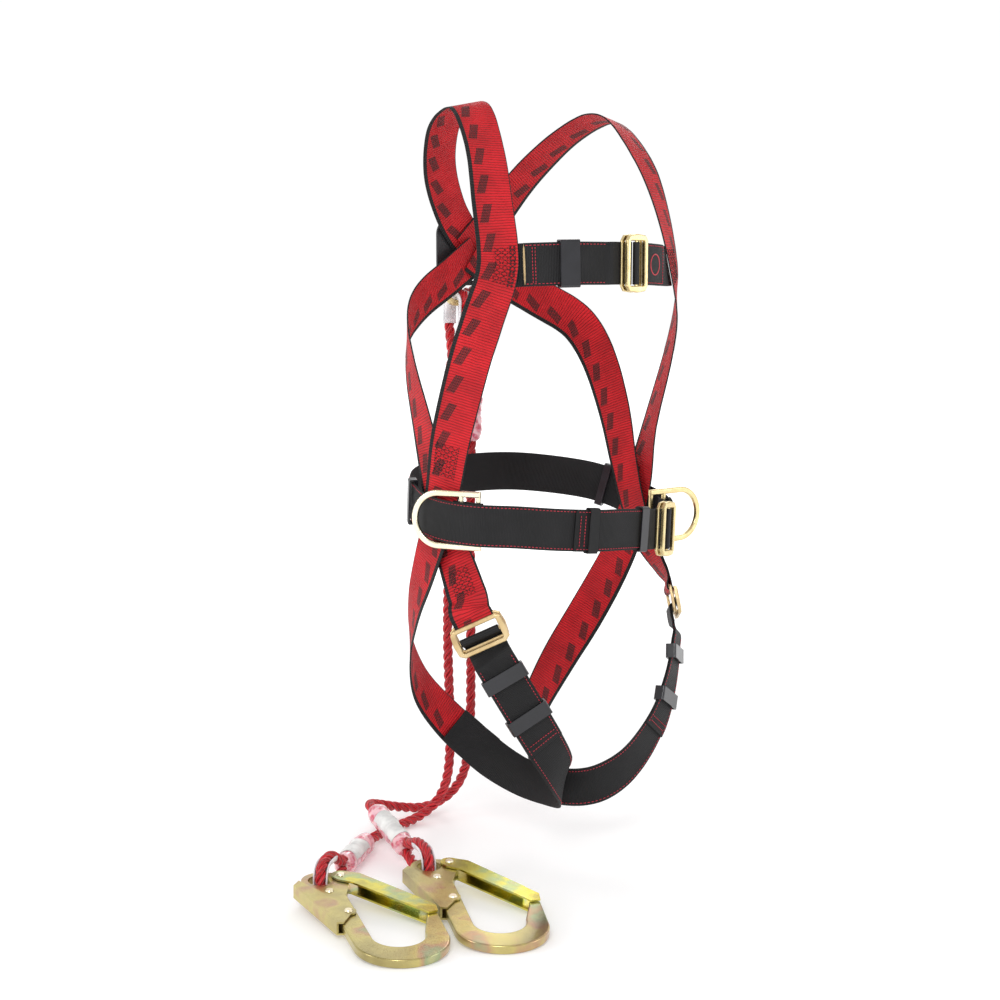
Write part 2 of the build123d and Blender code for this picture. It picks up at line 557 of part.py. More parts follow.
def rope(name, route, largest=400.0):
    """Free rope: straight runs joined by arcs as large as the runs allow."""
    corners = [Vector(*p) for p in route]
    runs = [b - a for a, b in zip(corners, corners[1:])]
    radii = []
    for before, after in zip(runs, runs[1:]):
        turn = before.get_angle(after)
        radii.append(0.45 * min(before.length, after.length) / math.tan(math.radians(turn / 2)))
    print(name, "radii", [round(r) for r in radii])
    with BuildPart() as tube:
        with BuildLine() as path:
            FilletPolyline(*route, radius=radii)
        with BuildSketch(Plane(origin=route[0], z_dir=runs[0])):
            Circle(ROPE / 2)
        sweep(path=path.line)
    length = sum(edge.length for edge in path.line.edges())
    print(name, "length", round(length), "volume ratio",
          round(tube.part.volume / (math.pi * ROPE ** 2 / 4 * length), 4))
    save(tube, name)


# free rope of each leg of the lanyard, from the sleeve at the hook to the sleeve at the back
ROPE_A = [
    (-162, 122.7, -371.5), (-130, 146, -377), (-90, 164, -378.7), (-50, 172, -378.7), (-22, 166, -362),
    (-15, 154, -328), (-15, 150.5, -268), (-18, 153, -150), (-15.5, 150.5, -36), (-16.5, 149, 76)]
ROPE_B = [
    (-126, 152, -350), (-116, 181, -350), (-90, 201, -359), (-52, 205, -372), (-16, 198, -378.7),
    (10, 180, -362), (18, 161, -328), (17, 151, -268), (19, 153, -150), (16, 150.5, -36), (16.5, 149, 76)]


# ---------------------------------------------------------------- scaffold hook
def sheet_levels():
    inside = HOOK_PLATE / 2 + HOOK_GAP
    return inside, inside + HOOK_SHEET


def hook_body(name, place):
    """Forged plate: bent throat with a rounded rim, and a head with the rope's eye."""
    with BuildPart() as body:
        with BuildSketch(place.offset(-HOOK_PLATE / 2)):
            with BuildLine():
                Polyline((-2, 8), (-2, -134))
                ThreePointArc((-2, -134), (46, -183), (94, -136))
                Polyline((94, -136), (98, -88), (88, -84), (73, -126))
                ThreePointArc((73, -126), (46, -153), (19, -126))
                Polyline((19, -126), (21, 8), (-2, 8))
            make_face()
        extrude(amount=HOOK_PLATE)
        soften(body, place, 1.6, both=True)
        with BuildSketch(place.offset(-HOOK_PLATE / 2)):
            with Locations(HOOK_EYE):
                Circle(HOOK_EYE_RIM)
            with Locations(GATE_PIVOT):
                Circle(10)
            Polygon((-14, 12), (-2, -20), (21, -20), (35, 18), (28, 33), (8, 39), align=None)
        extrude(amount=HOOK_PLATE)
        with BuildSketch(place.offset(-HOOK_PLATE)):
            with Locations(HOOK_EYE):
                Circle(HOOK_EYE_HOLE)
            with Locations(GATE_PIVOT, LEVER_PIVOT, HEAD_RIVET):
                Circle(RIVET / 2 + 0.05)
        extrude(amount=2 * HOOK_PLATE, mode=Mode.SUBTRACT)
    save(body, f"{name}_body")


def channel(place, outline, web, holes, clear):
    """Two flanges and the web of a bent sheet part that straddles the hook's plate."""
    inside, outside = sheet_levels()
    for base in (inside, -outside):
        with BuildSketch(place.offset(base)) as flange:
            Polygon(*outline, align=None)
            for spot, radius in holes:
                with Locations(spot):
                    Circle(radius)
            for spot, _ in holes:
                with Locations(spot):
                    Circle(RIVET / 2 + clear, mode=Mode.SUBTRACT)
        extrude(flange.sketch, amount=HOOK_SHEET)
    with BuildSketch(place.offset(-outside)) as back:
        Polygon(*web, align=None)
    extrude(back.sketch, amount=2 * outside)


def hook_gate(name, place):
    with BuildPart() as gate:
        outline = [(17, 18), (33, 30), (46, 22), (100, -75), (98, -89), (88, -91), (32, 2), (20, 12)]
        web = [(44.3, 21), (46, 22), (90, -55.2), (88.2, -56.2)]
        channel(place, outline, web, [(GATE_PIVOT, 10)], 0.05)
    save(gate, f"{name}_gate")


def hook_lever(name, place):
    with BuildPart() as lever:
        outline = [(-28, 10), (-20, 20), (-11, 2), (13, -55), (17, -64), (12, -73), (0, -90), (-7, -88)]
        web = [(-28, 10), (-26, 10.2), (-5, -88), (-7, -88)]
        channel(place, outline, web, [(LEVER_PIVOT, 8)], 0.05)
    save(lever, f"{name}_lever")


def hook_rivets(name, place):
    inside, outside = sheet_levels()
    with BuildPart() as rivets:
        for spot, half in ((GATE_PIVOT, outside), (LEVER_PIVOT, outside), (HEAD_RIVET, HOOK_PLATE / 2)):
            with BuildSketch(place.offset(-half - 0.1)):
                with Locations(spot):
                    Circle(RIVET / 2)
            extrude(amount=2 * half + 0.2)
            for base, top in ((half + 0.1, 1), (-half - 0.1, -1)):
                with BuildSketch(place.offset(base)):
                    with Locations(spot):
                        Circle(RIVET / 2 + 1.6)
                extrude(amount=top * 1.5, taper=35)
    save(rivets, f"{name}_rivets")


def hook(name, place):
    hook_body(name, place)
    hook_gate(name, place)
    hook_lever(name, place)
    hook_rivets(name, place)


def hook_place(x, y, turn):
    """Plane of a hook on the floor: eye raised by the rope, bottom on the floor."""
    level = Plane(origin=(x, y, 0), x_dir=(math.cos(math.radians(turn)), math.sin(math.radians(turn)), 0),
                  z_dir=(0, 0, 1))
    tilt = math.radians(HOOK_TILT)
    z_dir = level.z_dir * math.cos(tilt) - level.y_dir * math.sin(tilt)
    lowest = 184 * math.sin(tilt) + HOOK_PLATE / 2 * math.cos(tilt)
    origin = Vector(x, y, FLOOR + lowest + 0.2)
    return Plane(origin=origin, x_dir=level.x_dir, z_dir=z_dir)


HOOKS = {"a": (-306.0, 4.0, -21.0, 37.0), "b": (-193.0, -34.0, -27.0, 70.0)}
HOOK_EXIT = {"a": -6.5, "b": 0.0}
LOW_STRAND = -14.5
HIGH_STRAND = 20.0
BACK_STRAND = 14.5
BAR_SEAT = ROPE / 2 + THIMBLE_FIT + THIMBLE_WALL + BAR_PLAY


def build_lanyard():
    """Two rope legs, from the ring on the back to the scaffold hooks on the floor."""
    ends = {"a": ROPE_A, "b": ROPE_B}
    for leg, (x, y, turn, heading) in HOOKS.items():
        place = hook_place(x, y, turn)
        hook(f"hook_{leg}", place)
        hole = place.origin + place.x_dir * HOOK_EYE[0] + place.y_dir * HOOK_EYE[1]
        towards = Vector(math.cos(math.radians(heading)), math.sin(math.radians(heading)), 0)
        eye = Plane(origin=hole, x_dir=towards, z_dir=(0, 0, 1))
        rope_eye(f"hook_{leg}", eye, HOOK_EXIT[leg], LOW_STRAND, HIGH_STRAND)
        start = hole + towards * SLEEVE_START + Vector(0, 0, HOOK_EXIT[leg])
        sleeve(f"hook_{leg}", start, ends[leg][0])
    lower_bar = DORSAL_RING_PLANE.origin - DORSAL_RING_PLANE.y_dir * DORSAL_RING_DROP
    for leg, side in (("a", -1), ("b", 1)):
        top = lower_bar + Vector(side * 9.5, 0, RING_BAR_RADIUS + BAR_SEAT)
        down = Vector(side * 0.05, 0, -1).normalized()
        eye = Plane(origin=top, x_dir=down, z_dir=(0, 1, 0))
        rope_eye(f"dorsal_{leg}", eye, 0, -BACK_STRAND, BACK_STRAND)
        sleeve(f"dorsal_{leg}", top + down * SLEEVE_START, ends[leg][-1])
        rope(f"rope_{leg}", ends[leg])


build_body_straps()
build_leg("right", BACK_RIGHT, leg_right)
build_leg("left", BACK_LEFT, leg_left)
build_chest()
build_belt()
build_hip_rings()
build_dorsal()
build_lanyard()
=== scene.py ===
"""Looks of the safety harness: webbing, ropes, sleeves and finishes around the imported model.

Routes and sizes are in millimetres, as in the part's source; meshes are written in metres.
"""
import math

import bpy
import numpy as np
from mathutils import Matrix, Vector


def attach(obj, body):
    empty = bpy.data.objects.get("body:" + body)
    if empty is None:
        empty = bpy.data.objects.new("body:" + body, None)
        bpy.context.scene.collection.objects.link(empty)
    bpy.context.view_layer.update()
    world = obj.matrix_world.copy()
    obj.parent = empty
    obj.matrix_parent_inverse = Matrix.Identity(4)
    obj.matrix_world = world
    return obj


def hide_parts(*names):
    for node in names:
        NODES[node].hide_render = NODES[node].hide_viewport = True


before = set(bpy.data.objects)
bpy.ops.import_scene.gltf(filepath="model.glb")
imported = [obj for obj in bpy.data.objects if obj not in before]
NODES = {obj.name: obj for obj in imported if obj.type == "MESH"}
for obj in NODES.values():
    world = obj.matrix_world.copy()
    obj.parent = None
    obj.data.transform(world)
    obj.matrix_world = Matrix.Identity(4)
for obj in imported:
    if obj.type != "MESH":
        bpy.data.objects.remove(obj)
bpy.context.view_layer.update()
MM = 0.001

# ---------------- sizes, as in the part
WEB_WIDTH = 45.0
WEB_THICK = 1.6
LAYER_GAP = 0.3
LAYER = WEB_THICK + LAYER_GAP
FIT = 0.3
STRAP_STEPS = 3

BUCKLE_LENGTH = 32.0
BUCKLE_BAR = 5.0
FRAME_THICK = 3.0
CORE_BAR_WIDTH = 4.4
CORE_BAR_THICK = 2.0
PLATE_SHIFT = 3.0
FRAME_CORE = -3.5
BUCKLE_REACH = 26.0
HALF_OPEN = BUCKLE_LENGTH / 2 - BUCKLE_BAR
OUTER_LEVEL = -(FIT + WEB_THICK / 2)
INNER_LEVEL = OUTER_LEVEL - LAYER
CORE_TURN = CORE_BAR_THICK / 2 + FIT + WEB_THICK / 2
BAR_TURN = FRAME_THICK / 2 + FIT + WEB_THICK / 2
PLATE_BASE = FRAME_THICK / 2 + BAR_TURN + WEB_THICK / 2 + FIT
PLATE_CORE = PLATE_BASE + CORE_BAR_THICK / 2
CORE_END = (CORE_BAR_WIDTH - CORE_BAR_THICK) / 2

SEWN_TAIL = 42.0
LOOSE_TAIL = 118.0
CHEST_TAIL = 94.0
CHEST_BUCKLE_AT = 150.0
BELT_BUCKLE_AT = 20.0

RING_SLOT = 20.0
RING_THICK = 5.0
RING_UNDER_BELT = 6.7
RING_LEAN = 9.0

ROPE = 12.0
SLEEVE = 26.0
SLEEVE_START = 80.0
HOOK_EYE = (3.0, 20.0)
HOOK_PLATE = 9.0
HOOK_TILT = 4.6
FLOOR = -385.0
LOW_STRAND = -14.5
HIGH_STRAND = 20.0
BACK_STRAND = 14.5
BACK_EYE_TOP = Vector((0, 140.7, 251.3))        # this and the next are not named in the part
BACK_EYE_APART = 9.5
HOOKS = {"a": (-306.0, 4.0, -21.0, 37.0), "b": (-193.0, -34.0, -27.0, 70.0)}
HOOK_EXIT = {"a": -6.5, "b": 0.0}

# ---------------- routes: x, y, z and outward normal
SHOULDER_RIGHT = [
    (7, 128, 296, -0.05, 1, 0.1), (-30, 124, 336, -0.15, 0.95, 0.3), (-65, 104, 388, -0.2, 0.75, 0.65),
    (-90, 62, 436, -0.2, 0.35, 0.95), (-98, 14, 449, -0.2, -0.15, 0.98), (-110, -26, 405, -0.2, -0.8, 0.6),
    (-118, -48, 348, -0.35, -0.92, 0.2), (-122, -62, 280, -0.45, -0.9, 0),
    (-133, -52, 228, -0.6, -0.8, -0.05), (-141, -38, 180, -0.72, -0.68, -0.05),
    (-147, -15, 101, -0.85, -0.5, 0), (-146.8, -1, 45, -0.96, -0.27, 0), (-147.5, 10, 8, -0.99, -0.14, 0)]
SHOULDER_LEFT = [
    (-7, 126, 296, 0.05, 1, 0.1), (30, 122, 336, 0.15, 0.95, 0.3), (68, 104, 388, 0.2, 0.75, 0.65),
    (98, 62, 433, 0.2, 0.35, 0.95), (110, 14, 445, 0.2, -0.15, 0.98), (119, -28, 402, 0.25, -0.8, 0.6),
    (126, -52, 348, 0.4, -0.9, 0.2), (133, -67, 280, 0.55, -0.83, 0), (145, -60, 232, 0.75, -0.66, -0.05),
    (150, -44, 180, 0.82, -0.57, -0.05), (150, -17, 101, 0.88, -0.47, 0), (150.5, -1, 42, 0.98, -0.15, 0),
    (150.5, 10, 6, 1, 0, 0)]
BACK_RIGHT = [
    (4, 123.5, 294, 0, 1, 0.1), (-38, 120, 268, -0.15, 0.98, 0.05), (-88, 107, 242, -0.45, 0.88, 0),
    (-126, 84, 214, -0.75, 0.65, 0), (-141, 62, 172, -0.9, 0.42, 0), (-144, 38, 112, -0.97, 0.2, 0),
    (-142, 21, 55, -1, 0, 0), (-141, 6, 6, -1, -0.12, 0), (-138, -13, -37, -0.94, -0.32, 0.1),
    (-138, -32, -72, -0.85, -0.5, 0.15)]
BACK_LEFT = [
    (-4, 118.6, 294, 0, 1, 0.1), (38, 116, 268, 0.15, 0.98, 0.05), (88, 107, 242, 0.45, 0.88, 0),
    (126, 84, 214, 0.75, 0.65, 0), (141, 62, 172, 0.9, 0.42, 0), (144, 38, 112, 0.97, 0.2, 0),
    (143, 21, 55, 1, 0, 0), (143.5, 6, 6, 1, -0.12, 0), (146.5, -13, -36, 0.97, -0.24, 0.1),
    (155, -35, -72, 0.85, -0.5, 0.15)]
PELVIC_RIGHT = [
    (-149, 13.5, -9, -1, 0, 0), (-149.5, 30, -48, -0.98, 0.16, -0.05), (-146, 52, -92, -0.9, 0.4, -0.05),
    (-132, 76, -142, -0.75, 0.65, -0.05), (-104, 92, -194, -0.4, 0.9, -0.1),
    (-64, 88, -242, 0.1, 0.98, -0.15), (-30, 64, -280, 0.6, 0.78, -0.15)]
PELVIC_LEFT = [
    (152.6, 13.5, -9, 0.99, 0.12, 0), (152.5, 30, -48, 0.98, 0.18, -0.05), (146, 52, -92, 0.9, 0.4, -0.05),
    (132, 76, -142, 0.75, 0.65, -0.05), (104, 92, -194, 0.4, 0.9, -0.1), (64, 88, -242, -0.1, 0.98, -0.15),
    (30, 64, -280, -0.6, 0.78, -0.15)]
LEG_RIGHT = [
    (-123, -55, -134, -0.68, -0.72, 0.1), (-100, -67, -178, -0.55, -0.83, 0.05),
    (-72, -76, -226, -0.35, -0.93, 0),
    (-40, -72, -270, 0.1, -0.98, -0.1), (-14, -46, -298, 0.75, -0.65, -0.1), (-5, -6, -306, 0.99, 0, -0.1),
    (-10, 32, -302, 0.9, 0.4, -0.15), (-31.5, 60, -281, 0.6, 0.78, -0.15), (-63, 84, -243, 0.1, 0.98, -0.15)]
LEG_LEFT = [
    (150, -62, -140, 0.6, -0.8, 0.1), (134, -70, -186, 0.5, -0.86, 0.05), (108, -74, -236, 0.3, -0.95, 0),
    (70, -68, -280, -0.05, -0.98, -0.1), (32, -52, -302, -0.6, -0.78, -0.1),
    (9, -14, -308, -0.97, -0.2, -0.1),
    (10, 30, -303, -0.9, 0.4, -0.15), (31.5, 60, -281, -0.6, 0.78, -0.15), (63, 84, -243, -0.1, 0.98, -0.15)]
CHEST = [
    (-117.3, -58.6, 280, -0.45, -0.9, 0.12), (-99.3, -67.6, 281, -0.45, -0.9, 0.08),
    (-80, -82, 282, -0.45, -0.9, 0), (-46, -98, 283, -0.28, -0.96, 0), (-8, -107, 283, -0.1, -1, 0),
    (32, -107, 283, 0.1, -1, 0), (64, -98, 282, 0.25, -0.97, 0), (90, -87.5, 281, 0.4, -0.92, 0),
    (111.4, -73.1, 280, 0.55, -0.83, 0.15), (128.4, -60.7, 280, 0.55, -0.83, 0.2)]
BELT = [
    (112, -79, -12, 0.42, -0.91, 0), (94, -87, -11, 0.35, -0.94, 0), (60, -99, -7, 0.2, -0.98, 0),
    (20, -107, -3, 0.05, -1, 0), (-25, -107, 0, -0.1, -1, 0), (-70, -97, 4, -0.3, -0.95, 0),
    (-108, -78, 8, -0.55, -0.83, 0), (-139.5, -56, 10, -0.87, -0.5, 0), (-151, -31, 11, -0.96, -0.27, 0),
    (-156, -4, 13, -1, -0.06, 0), (-156, 22, 17, -0.99, 0.12, 0), (-148, 46, 23, -0.93, 0.37, 0),
    (-134, 72, 29, -0.8, 0.6, 0), (-103, 99, 35, -0.5, 0.87, 0), (-55, 117, 39, -0.2, 0.98, 0),
    (0, 122, 41, 0, 1, 0), (55, 117, 39, 0.2, 0.98, 0), (103, 99, 33, 0.5, 0.87, 0),
    (136, 72, 26, 0.8, 0.6, 0), (151, 46, 18, 0.93, 0.37, 0), (157, 20, 9, 0.99, 0.12, 0),
    (158.5, -8, 2, 0.99, -0.1, 0), (154, -36, -4, 0.93, -0.37, 0), (138, -62, -9, 0.7, -0.71, 0),
    (112, -79, -12, 0.42, -0.91, 0)]
# centres only, from hook to back
ROPES = {
    "a": [(-162, 122.7, -371.5), (-130, 146, -377), (-90, 164, -378.7), (-50, 172, -378.7), (-22, 166, -362),
          (-15, 154, -328), (-15, 150.5, -268), (-18, 153, -150), (-15.5, 150.5, -36), (-16.5, 149, 76)],
    "b": [(-126, 152, -350), (-116, 181, -350), (-90, 201, -359), (-52, 205, -372), (-16, 198, -378.7),
          (10, 180, -362), (18, 161, -328), (17, 151, -268), (19, 153, -150), (16, 150.5, -36),
          (16.5, 149, 76)]}


# ---------------- strap geometry
class Place:
    """A plane on the harness: x along the strap, z outward."""

    def __init__(self, origin, x_dir, z_dir):
        self.origin = Vector(origin)
        self.z_dir = Vector(z_dir).normalized()
        x_dir = Vector(x_dir)
        self.x_dir = (x_dir - self.z_dir * x_dir.dot(self.z_dir)).normalized()
        self.y_dir = self.z_dir.cross(self.x_dir)

    def offset(self, height):
        return Place(self.origin + self.z_dir * height, self.x_dir, self.z_dir)

    def at(self, x, y, z):
        return self.origin + self.x_dir * x + self.y_dir * y + self.z_dir * z


def smooth(route):
    """Points (x, y, z, nx, ny, nz) joined by an even curve: centres with normals."""
    rows = [np.array(r, float) for r in [route[0]] + list(route) + [route[-1]]]
    frames = []
    for a, b, c, d in zip(rows, rows[1:], rows[2:], rows[3:]):
        for step in range(STRAP_STEPS):
            t = step / STRAP_STEPS
            bend = (2 * a - 5 * b + 4 * c - d) * t * t + (3 * b - a - 3 * c + d) * t ** 3
            row = 0.5 * (2 * b + (c - a) * t + bend)
            frames.append((Vector(row[:3]), Vector(row[3:]).normalized()))
    frames.append((Vector(rows[-1][:3]), Vector(rows[-1][3:]).normalized()))
    return frames


def lifted(frames, height):
    return [(centre + normal * height, normal) for centre, normal in frames]


def flipped(frames):
    return [(centre, -normal) for centre, normal in frames]


def backward(frames):
    return list(reversed(frames))


def distances(frames):
    run = [0.0]
    for (a, _), (b, _) in zip(frames, frames[1:]):
        run.append(run[-1] + (b - a).length)
    return run


def frame_at(frames, distance):
    run = distances(frames)
    i = max(k for k in range(len(run) - 1) if run[k] <= max(distance, 0.0))
    share = (distance - run[i]) / (run[i + 1] - run[i])
    centre = frames[i][0].lerp(frames[i + 1][0], share)
    normal = frames[i][1] * (1 - share) + frames[i + 1][1] * share
    return centre, normal.normalized()


def stretch(frames, start, end):
    run = distances(frames)
    inner = [f for f, d in zip(frames, run) if start + 4 < d < end - 4]
    return [frame_at(frames, start)] + inner + [frame_at(frames, end)]


def place_at(frames, distance):
    centre, normal = frame_at(frames, distance)
    ahead, _ = frame_at(frames, distance + 4)
    behind, _ = frame_at(frames, distance - 4)
    return Place(centre, ahead - behind, normal)


def flat_path(place, points):
    frames = []
    side = 1 if points[1][0] > points[0][0] else -1
    for i, (x, z) in enumerate(points):
        x0, z0 = points[max(i - 1, 0)]
        x1, z1 = points[min(i + 1, len(points) - 1)]
        length = math.hypot(x1 - x0, z1 - z0)
        normal = place.x_dir * (-side * (z1 - z0) / length) + place.z_dir * (side * (x1 - x0) / length)
        frames.append((place.at(x, 0, z), normal))
    return frames


def arc(cx, cz, radius, start, end, count=6):
    turns = [math.radians(start + (end - start) * i / count) for i in range(count + 1)]
    return [(cx + radius * math.cos(a), cz + radius * math.sin(a)) for a in turns]


def plate_thread():
    """Webbing round the plate's inner bar, outer layer first, from +x."""
    path = [(BUCKLE_REACH, OUTER_LEVEL), (HALF_OPEN + 1.4, OUTER_LEVEL), (HALF_OPEN - 1.2, OUTER_LEVEL + 0.3)]
    path += arc(PLATE_SHIFT + CORE_END, PLATE_CORE, CORE_TURN, 0, 90, 3)
    path += arc(PLATE_SHIFT - CORE_END, PLATE_CORE, CORE_TURN, 90, 270)
    path += [(PLATE_SHIFT + CORE_END, PLATE_CORE - CORE_TURN), (HALF_OPEN - 3, INNER_LEVEL + 0.4)]
    return path + [(HALF_OPEN, INNER_LEVEL), (BUCKLE_REACH, INNER_LEVEL)]


def frame_thread():
    """Webbing round the frame's inner bar, outer layer first, from -x."""
    middle = CORE_BAR_THICK / 2
    path = [(-BUCKLE_REACH, OUTER_LEVEL), (-HALF_OPEN - 1.4, OUTER_LEVEL)]
    path += [(-HALF_OPEN + 1.2, OUTER_LEVEL + 0.25)]
    path += arc(FRAME_CORE - CORE_END, middle, CORE_TURN, 180, 90, 3)
    path += arc(FRAME_CORE + CORE_END, middle, CORE_TURN, 90, -90)
    path += [(-HALF_OPEN + 3.4, INNER_LEVEL + 0.25), (-HALF_OPEN, INNER_LEVEL)]
    return path + [(-BUCKLE_REACH, INNER_LEVEL)]


def side_bar_thread():
    """Webbing sewn round the frame's outer bar, outer layer first, from -x."""
    middle = FRAME_THICK / 2
    bar = -HALF_OPEN - middle
    path = [(-BUCKLE_REACH, middle + BAR_TURN - 0.5), (bar - 6, middle + BAR_TURN)]
    path += arc(bar, middle, BAR_TURN, 90, -90)
    return path + [(bar - 4, middle - BAR_TURN), (-BUCKLE_REACH + 1, middle + BAR_TURN - 0.5 - LAYER)]


# ---------------- meshes
def placed(name, data):
    """A new object in the scene."""
    made = bpy.data.objects.new(name, data)
    bpy.context.scene.collection.objects.link(made)
    return made


def make_object(name, points, faces, attributes=()):
    """A mesh object from points in millimetres, with point attributes."""
    mesh = bpy.data.meshes.new(name)
    mesh.from_pydata((np.asarray(points, float) * MM).tolist(), [], faces)
    for key, values in attributes:
        layer = mesh.attributes.new(key, "FLOAT_VECTOR", "POINT")
        layer.data.foreach_set("vector", np.asarray(values, np.float32).ravel())
    mesh.validate()
    mesh.update()
    mesh.polygons.foreach_set("use_smooth", [True] * len(mesh.polygons))
    return placed(name, mesh)


def run_along(points, power=1):
    """Running sum of the gaps between points, each gap raised to a power."""
    gaps = np.linalg.norm(np.diff(points, axis=0), axis=1)
    return np.concatenate([[0], np.cumsum(gaps ** power)])


def unit_rows(rows):
    return rows / np.linalg.norm(rows, axis=1, keepdims=True)


def rings_to_faces(rings, count, start=0, caps=True):
    """Quads between successive closed rings of points, with end caps."""
    faces = []
    for r in range(rings - 1):
        a, b = start + r * count, start + (r + 1) * count
        for k in range(count):
            n = (k + 1) % count
            faces.append((a + k, a + n, b + n, b + k))
    if caps:
        faces.append(tuple(start + k for k in reversed(range(count))))
        faces.append(tuple(start + (rings - 1) * count + k for k in range(count)))
    return faces


class Ribbon:
    """A strap as a fine surface: centres, directions and the distance along it."""

    STEP = 1.6

    def __init__(self, frames):
        centres = np.array([list(c) for c, _ in frames])
        normals = np.array([list(n) for _, n in frames])
        first, last = 2 * centres[0] - centres[1], 2 * centres[-1] - centres[-2]
        padded = np.vstack([first, centres, last])
        knots = run_along(padded, 0.5)
        points, turned = [], []
        for i in range(1, len(padded) - 2):
            gap = np.linalg.norm(padded[i + 1] - padded[i])
            count = max(1, math.ceil(gap / self.STEP))
            for step in range(count):
                share = step / count
                points.append(self.curve(padded[i - 1:i + 3], knots[i - 1:i + 3], share))
                turned.append(normals[i - 1] * (1 - share) + normals[i] * share)
        points.append(centres[-1])
        turned.append(normals[-1])
        self.centres = np.array(points)
        tangent = unit_rows(np.gradient(self.centres, axis=0))
        self.across = unit_rows(np.cross(unit_rows(np.array(turned)), tangent))
        self.normals = np.cross(tangent, self.across)
        self.along = run_along(self.centres)
        self.length = self.along[-1]

    @staticmethod
    def curve(p, t, share):
        """Centripetal curve through four points, between the middle two."""
        now = t[1] + (t[2] - t[1]) * share
        a = [(p[k] * (t[k + 1] - now) + p[k + 1] * (now - t[k])) / (t[k + 1] - t[k]) for k in range(3)]
        b = [(a[k] * (t[k + 2] - now) + a[k + 1] * (now - t[k])) / (t[k + 2] - t[k]) for k in range(2)]
        return (b[0] * (t[2] - now) + b[1] * (now - t[1])) / (t[2] - t[1])

    def at(self, along, across, height):
        """Points on the strap, for arrays or numbers in millimetres."""
        along, across, height = np.broadcast_arrays(along, across, height)
        spread = [np.stack([np.interp(along, self.along, rows[:, k]) for k in range(3)], -1)
                  for rows in (self.centres, self.across, self.normals)]
        return spread[0] + spread[1] * across[..., None] + spread[2] * height[..., None]

    def nearest(self, point):
        """Distance along the strap of the frame closest to a point."""
        return self.along[np.argmin(np.linalg.norm(self.centres - np.array(list(point)), axis=1))]


def strap_profile():
    """Across and height of the outline, with full edges; clockwise, so faces point inwards."""
    half, round_off = WEB_WIDTH / 2, WEB_THICK / 2
    flat = np.linspace(-half + round_off, half - round_off, 15)
    turns = np.radians([60, 25, 0, -25, -60])
    edge = [(half - round_off + round_off * math.cos(a), round_off * math.sin(a)) for a in turns]
    top = [(x, round_off) for x in flat]
    bottom = [(x, -round_off) for x in flat[::-1]]
    other = [(-x, -z) for x, z in edge]
    return np.array(top + edge + bottom + other)


def webbing(name, frames, colour, node, outer=1):
    """The visible strap for a CAD strap. outer is the side of its broad black edge."""
    ribbon = Ribbon(frames)
    profile = strap_profile()
    rows = ribbon.at(ribbon.along[:, None], profile[None, :, 0], profile[None, :, 1])
    points = rows.reshape(-1, 3)
    count = len(profile)
    marks = np.zeros((len(ribbon.along), count, 3))
    marks[..., 0] = profile[None, :, 0] * outer * MM
    marks[..., 1] = ribbon.along[:, None] * MM
    marks[..., 2] = np.sign(profile[None, :, 1])
    faces = rings_to_faces(len(ribbon.along), count)
    piece = make_object(name, points, faces, [("strap", marks.reshape(-1, 3))])
    finish_piece(piece, MATERIALS[colour], f"webbing_{colour}", "harness", node)
    return ribbon


def finish_piece(piece, material, slot, body, *nodes):
    piece.data.materials.append(material)
    if nodes:
        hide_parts(*nodes)
    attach(piece, body)


# ---------------- sewing
THREAD = 0.42
SIDES = 6
STITCH_HEIGHT = WEB_THICK / 2 + 0.3
FLAT_STITCH_HEIGHT = WEB_THICK / 2 + 0.15       # where keepers slide over the stitches
FLAT_STITCH_INSET = 3.4


def thread_mesh(name, segments, colour, material=None, radius=THREAD):
    """One mesh of short capsules, one for each stitch from start to end."""
    points, faces = [], []
    shares = ((0.0, 0.15), (0.12, 0.75), (0.5, 1.0), (0.88, 0.75), (1.0, 0.15))
    turns = np.arange(SIDES) * 2 * math.pi / SIDES
    for start, end in segments:
        direction = end - start
        length = np.linalg.norm(direction)
        direction = direction / length
        helper = np.array([0.0, 0.0, 1.0]) if abs(direction[2]) < 0.9 else np.array([1.0, 0.0, 0.0])
        u = np.cross(direction, helper)
        u /= np.linalg.norm(u)
        v = np.cross(direction, u)
        base = len(points)
        for share, swell in shares:
            ring = start + direction * length * share + radius * swell * (
                np.outer(np.cos(turns), u) + np.outer(np.sin(turns), v))
            points.extend(ring)
        faces += rings_to_faces(len(shares), SIDES, base)
    piece = make_object(name, points, faces)
    finish_piece(piece, MATERIALS[material or f"{colour}_thread"], f"webbing_{colour}", "harness")


def dashes(ribbon, line, pitch=4.0, stitch=2.6, height=STITCH_HEIGHT):
    """Stitches along a line of (along, across) points on a strap."""
    segments = []
    for (a0, c0), (a1, c1) in zip(line, line[1:]):
        length = math.hypot(a1 - a0, c1 - c0)
        count = max(1, round(length / pitch))
        share = stitch / pitch
        for k in range(count):
            s, e = k / count, (k + share) / count
            start = ribbon.at(a0 + (a1 - a0) * s, c0 + (c1 - c0) * s, height)
            end = ribbon.at(a0 + (a1 - a0) * e, c0 + (c1 - c0) * e, height)
            segments.append((start, end))
    return segments


def edge_rows(ribbon, start, end, inset=2.6, height=STITCH_HEIGHT):
    """A row of stitches near each edge of a strap."""
    side = WEB_WIDTH / 2 - inset
    rows = []
    for across in (-side, side):
        rows += dashes(ribbon, [(start, across), (end, across)], height=height)
    return rows


def bars(ribbon, places, half):
    """Lines of stitches straight across a strap."""
    rows = []
    for along in places:
        rows += dashes(ribbon, [(along, -half), (along, half)], 3.4, 2.4)
    return rows


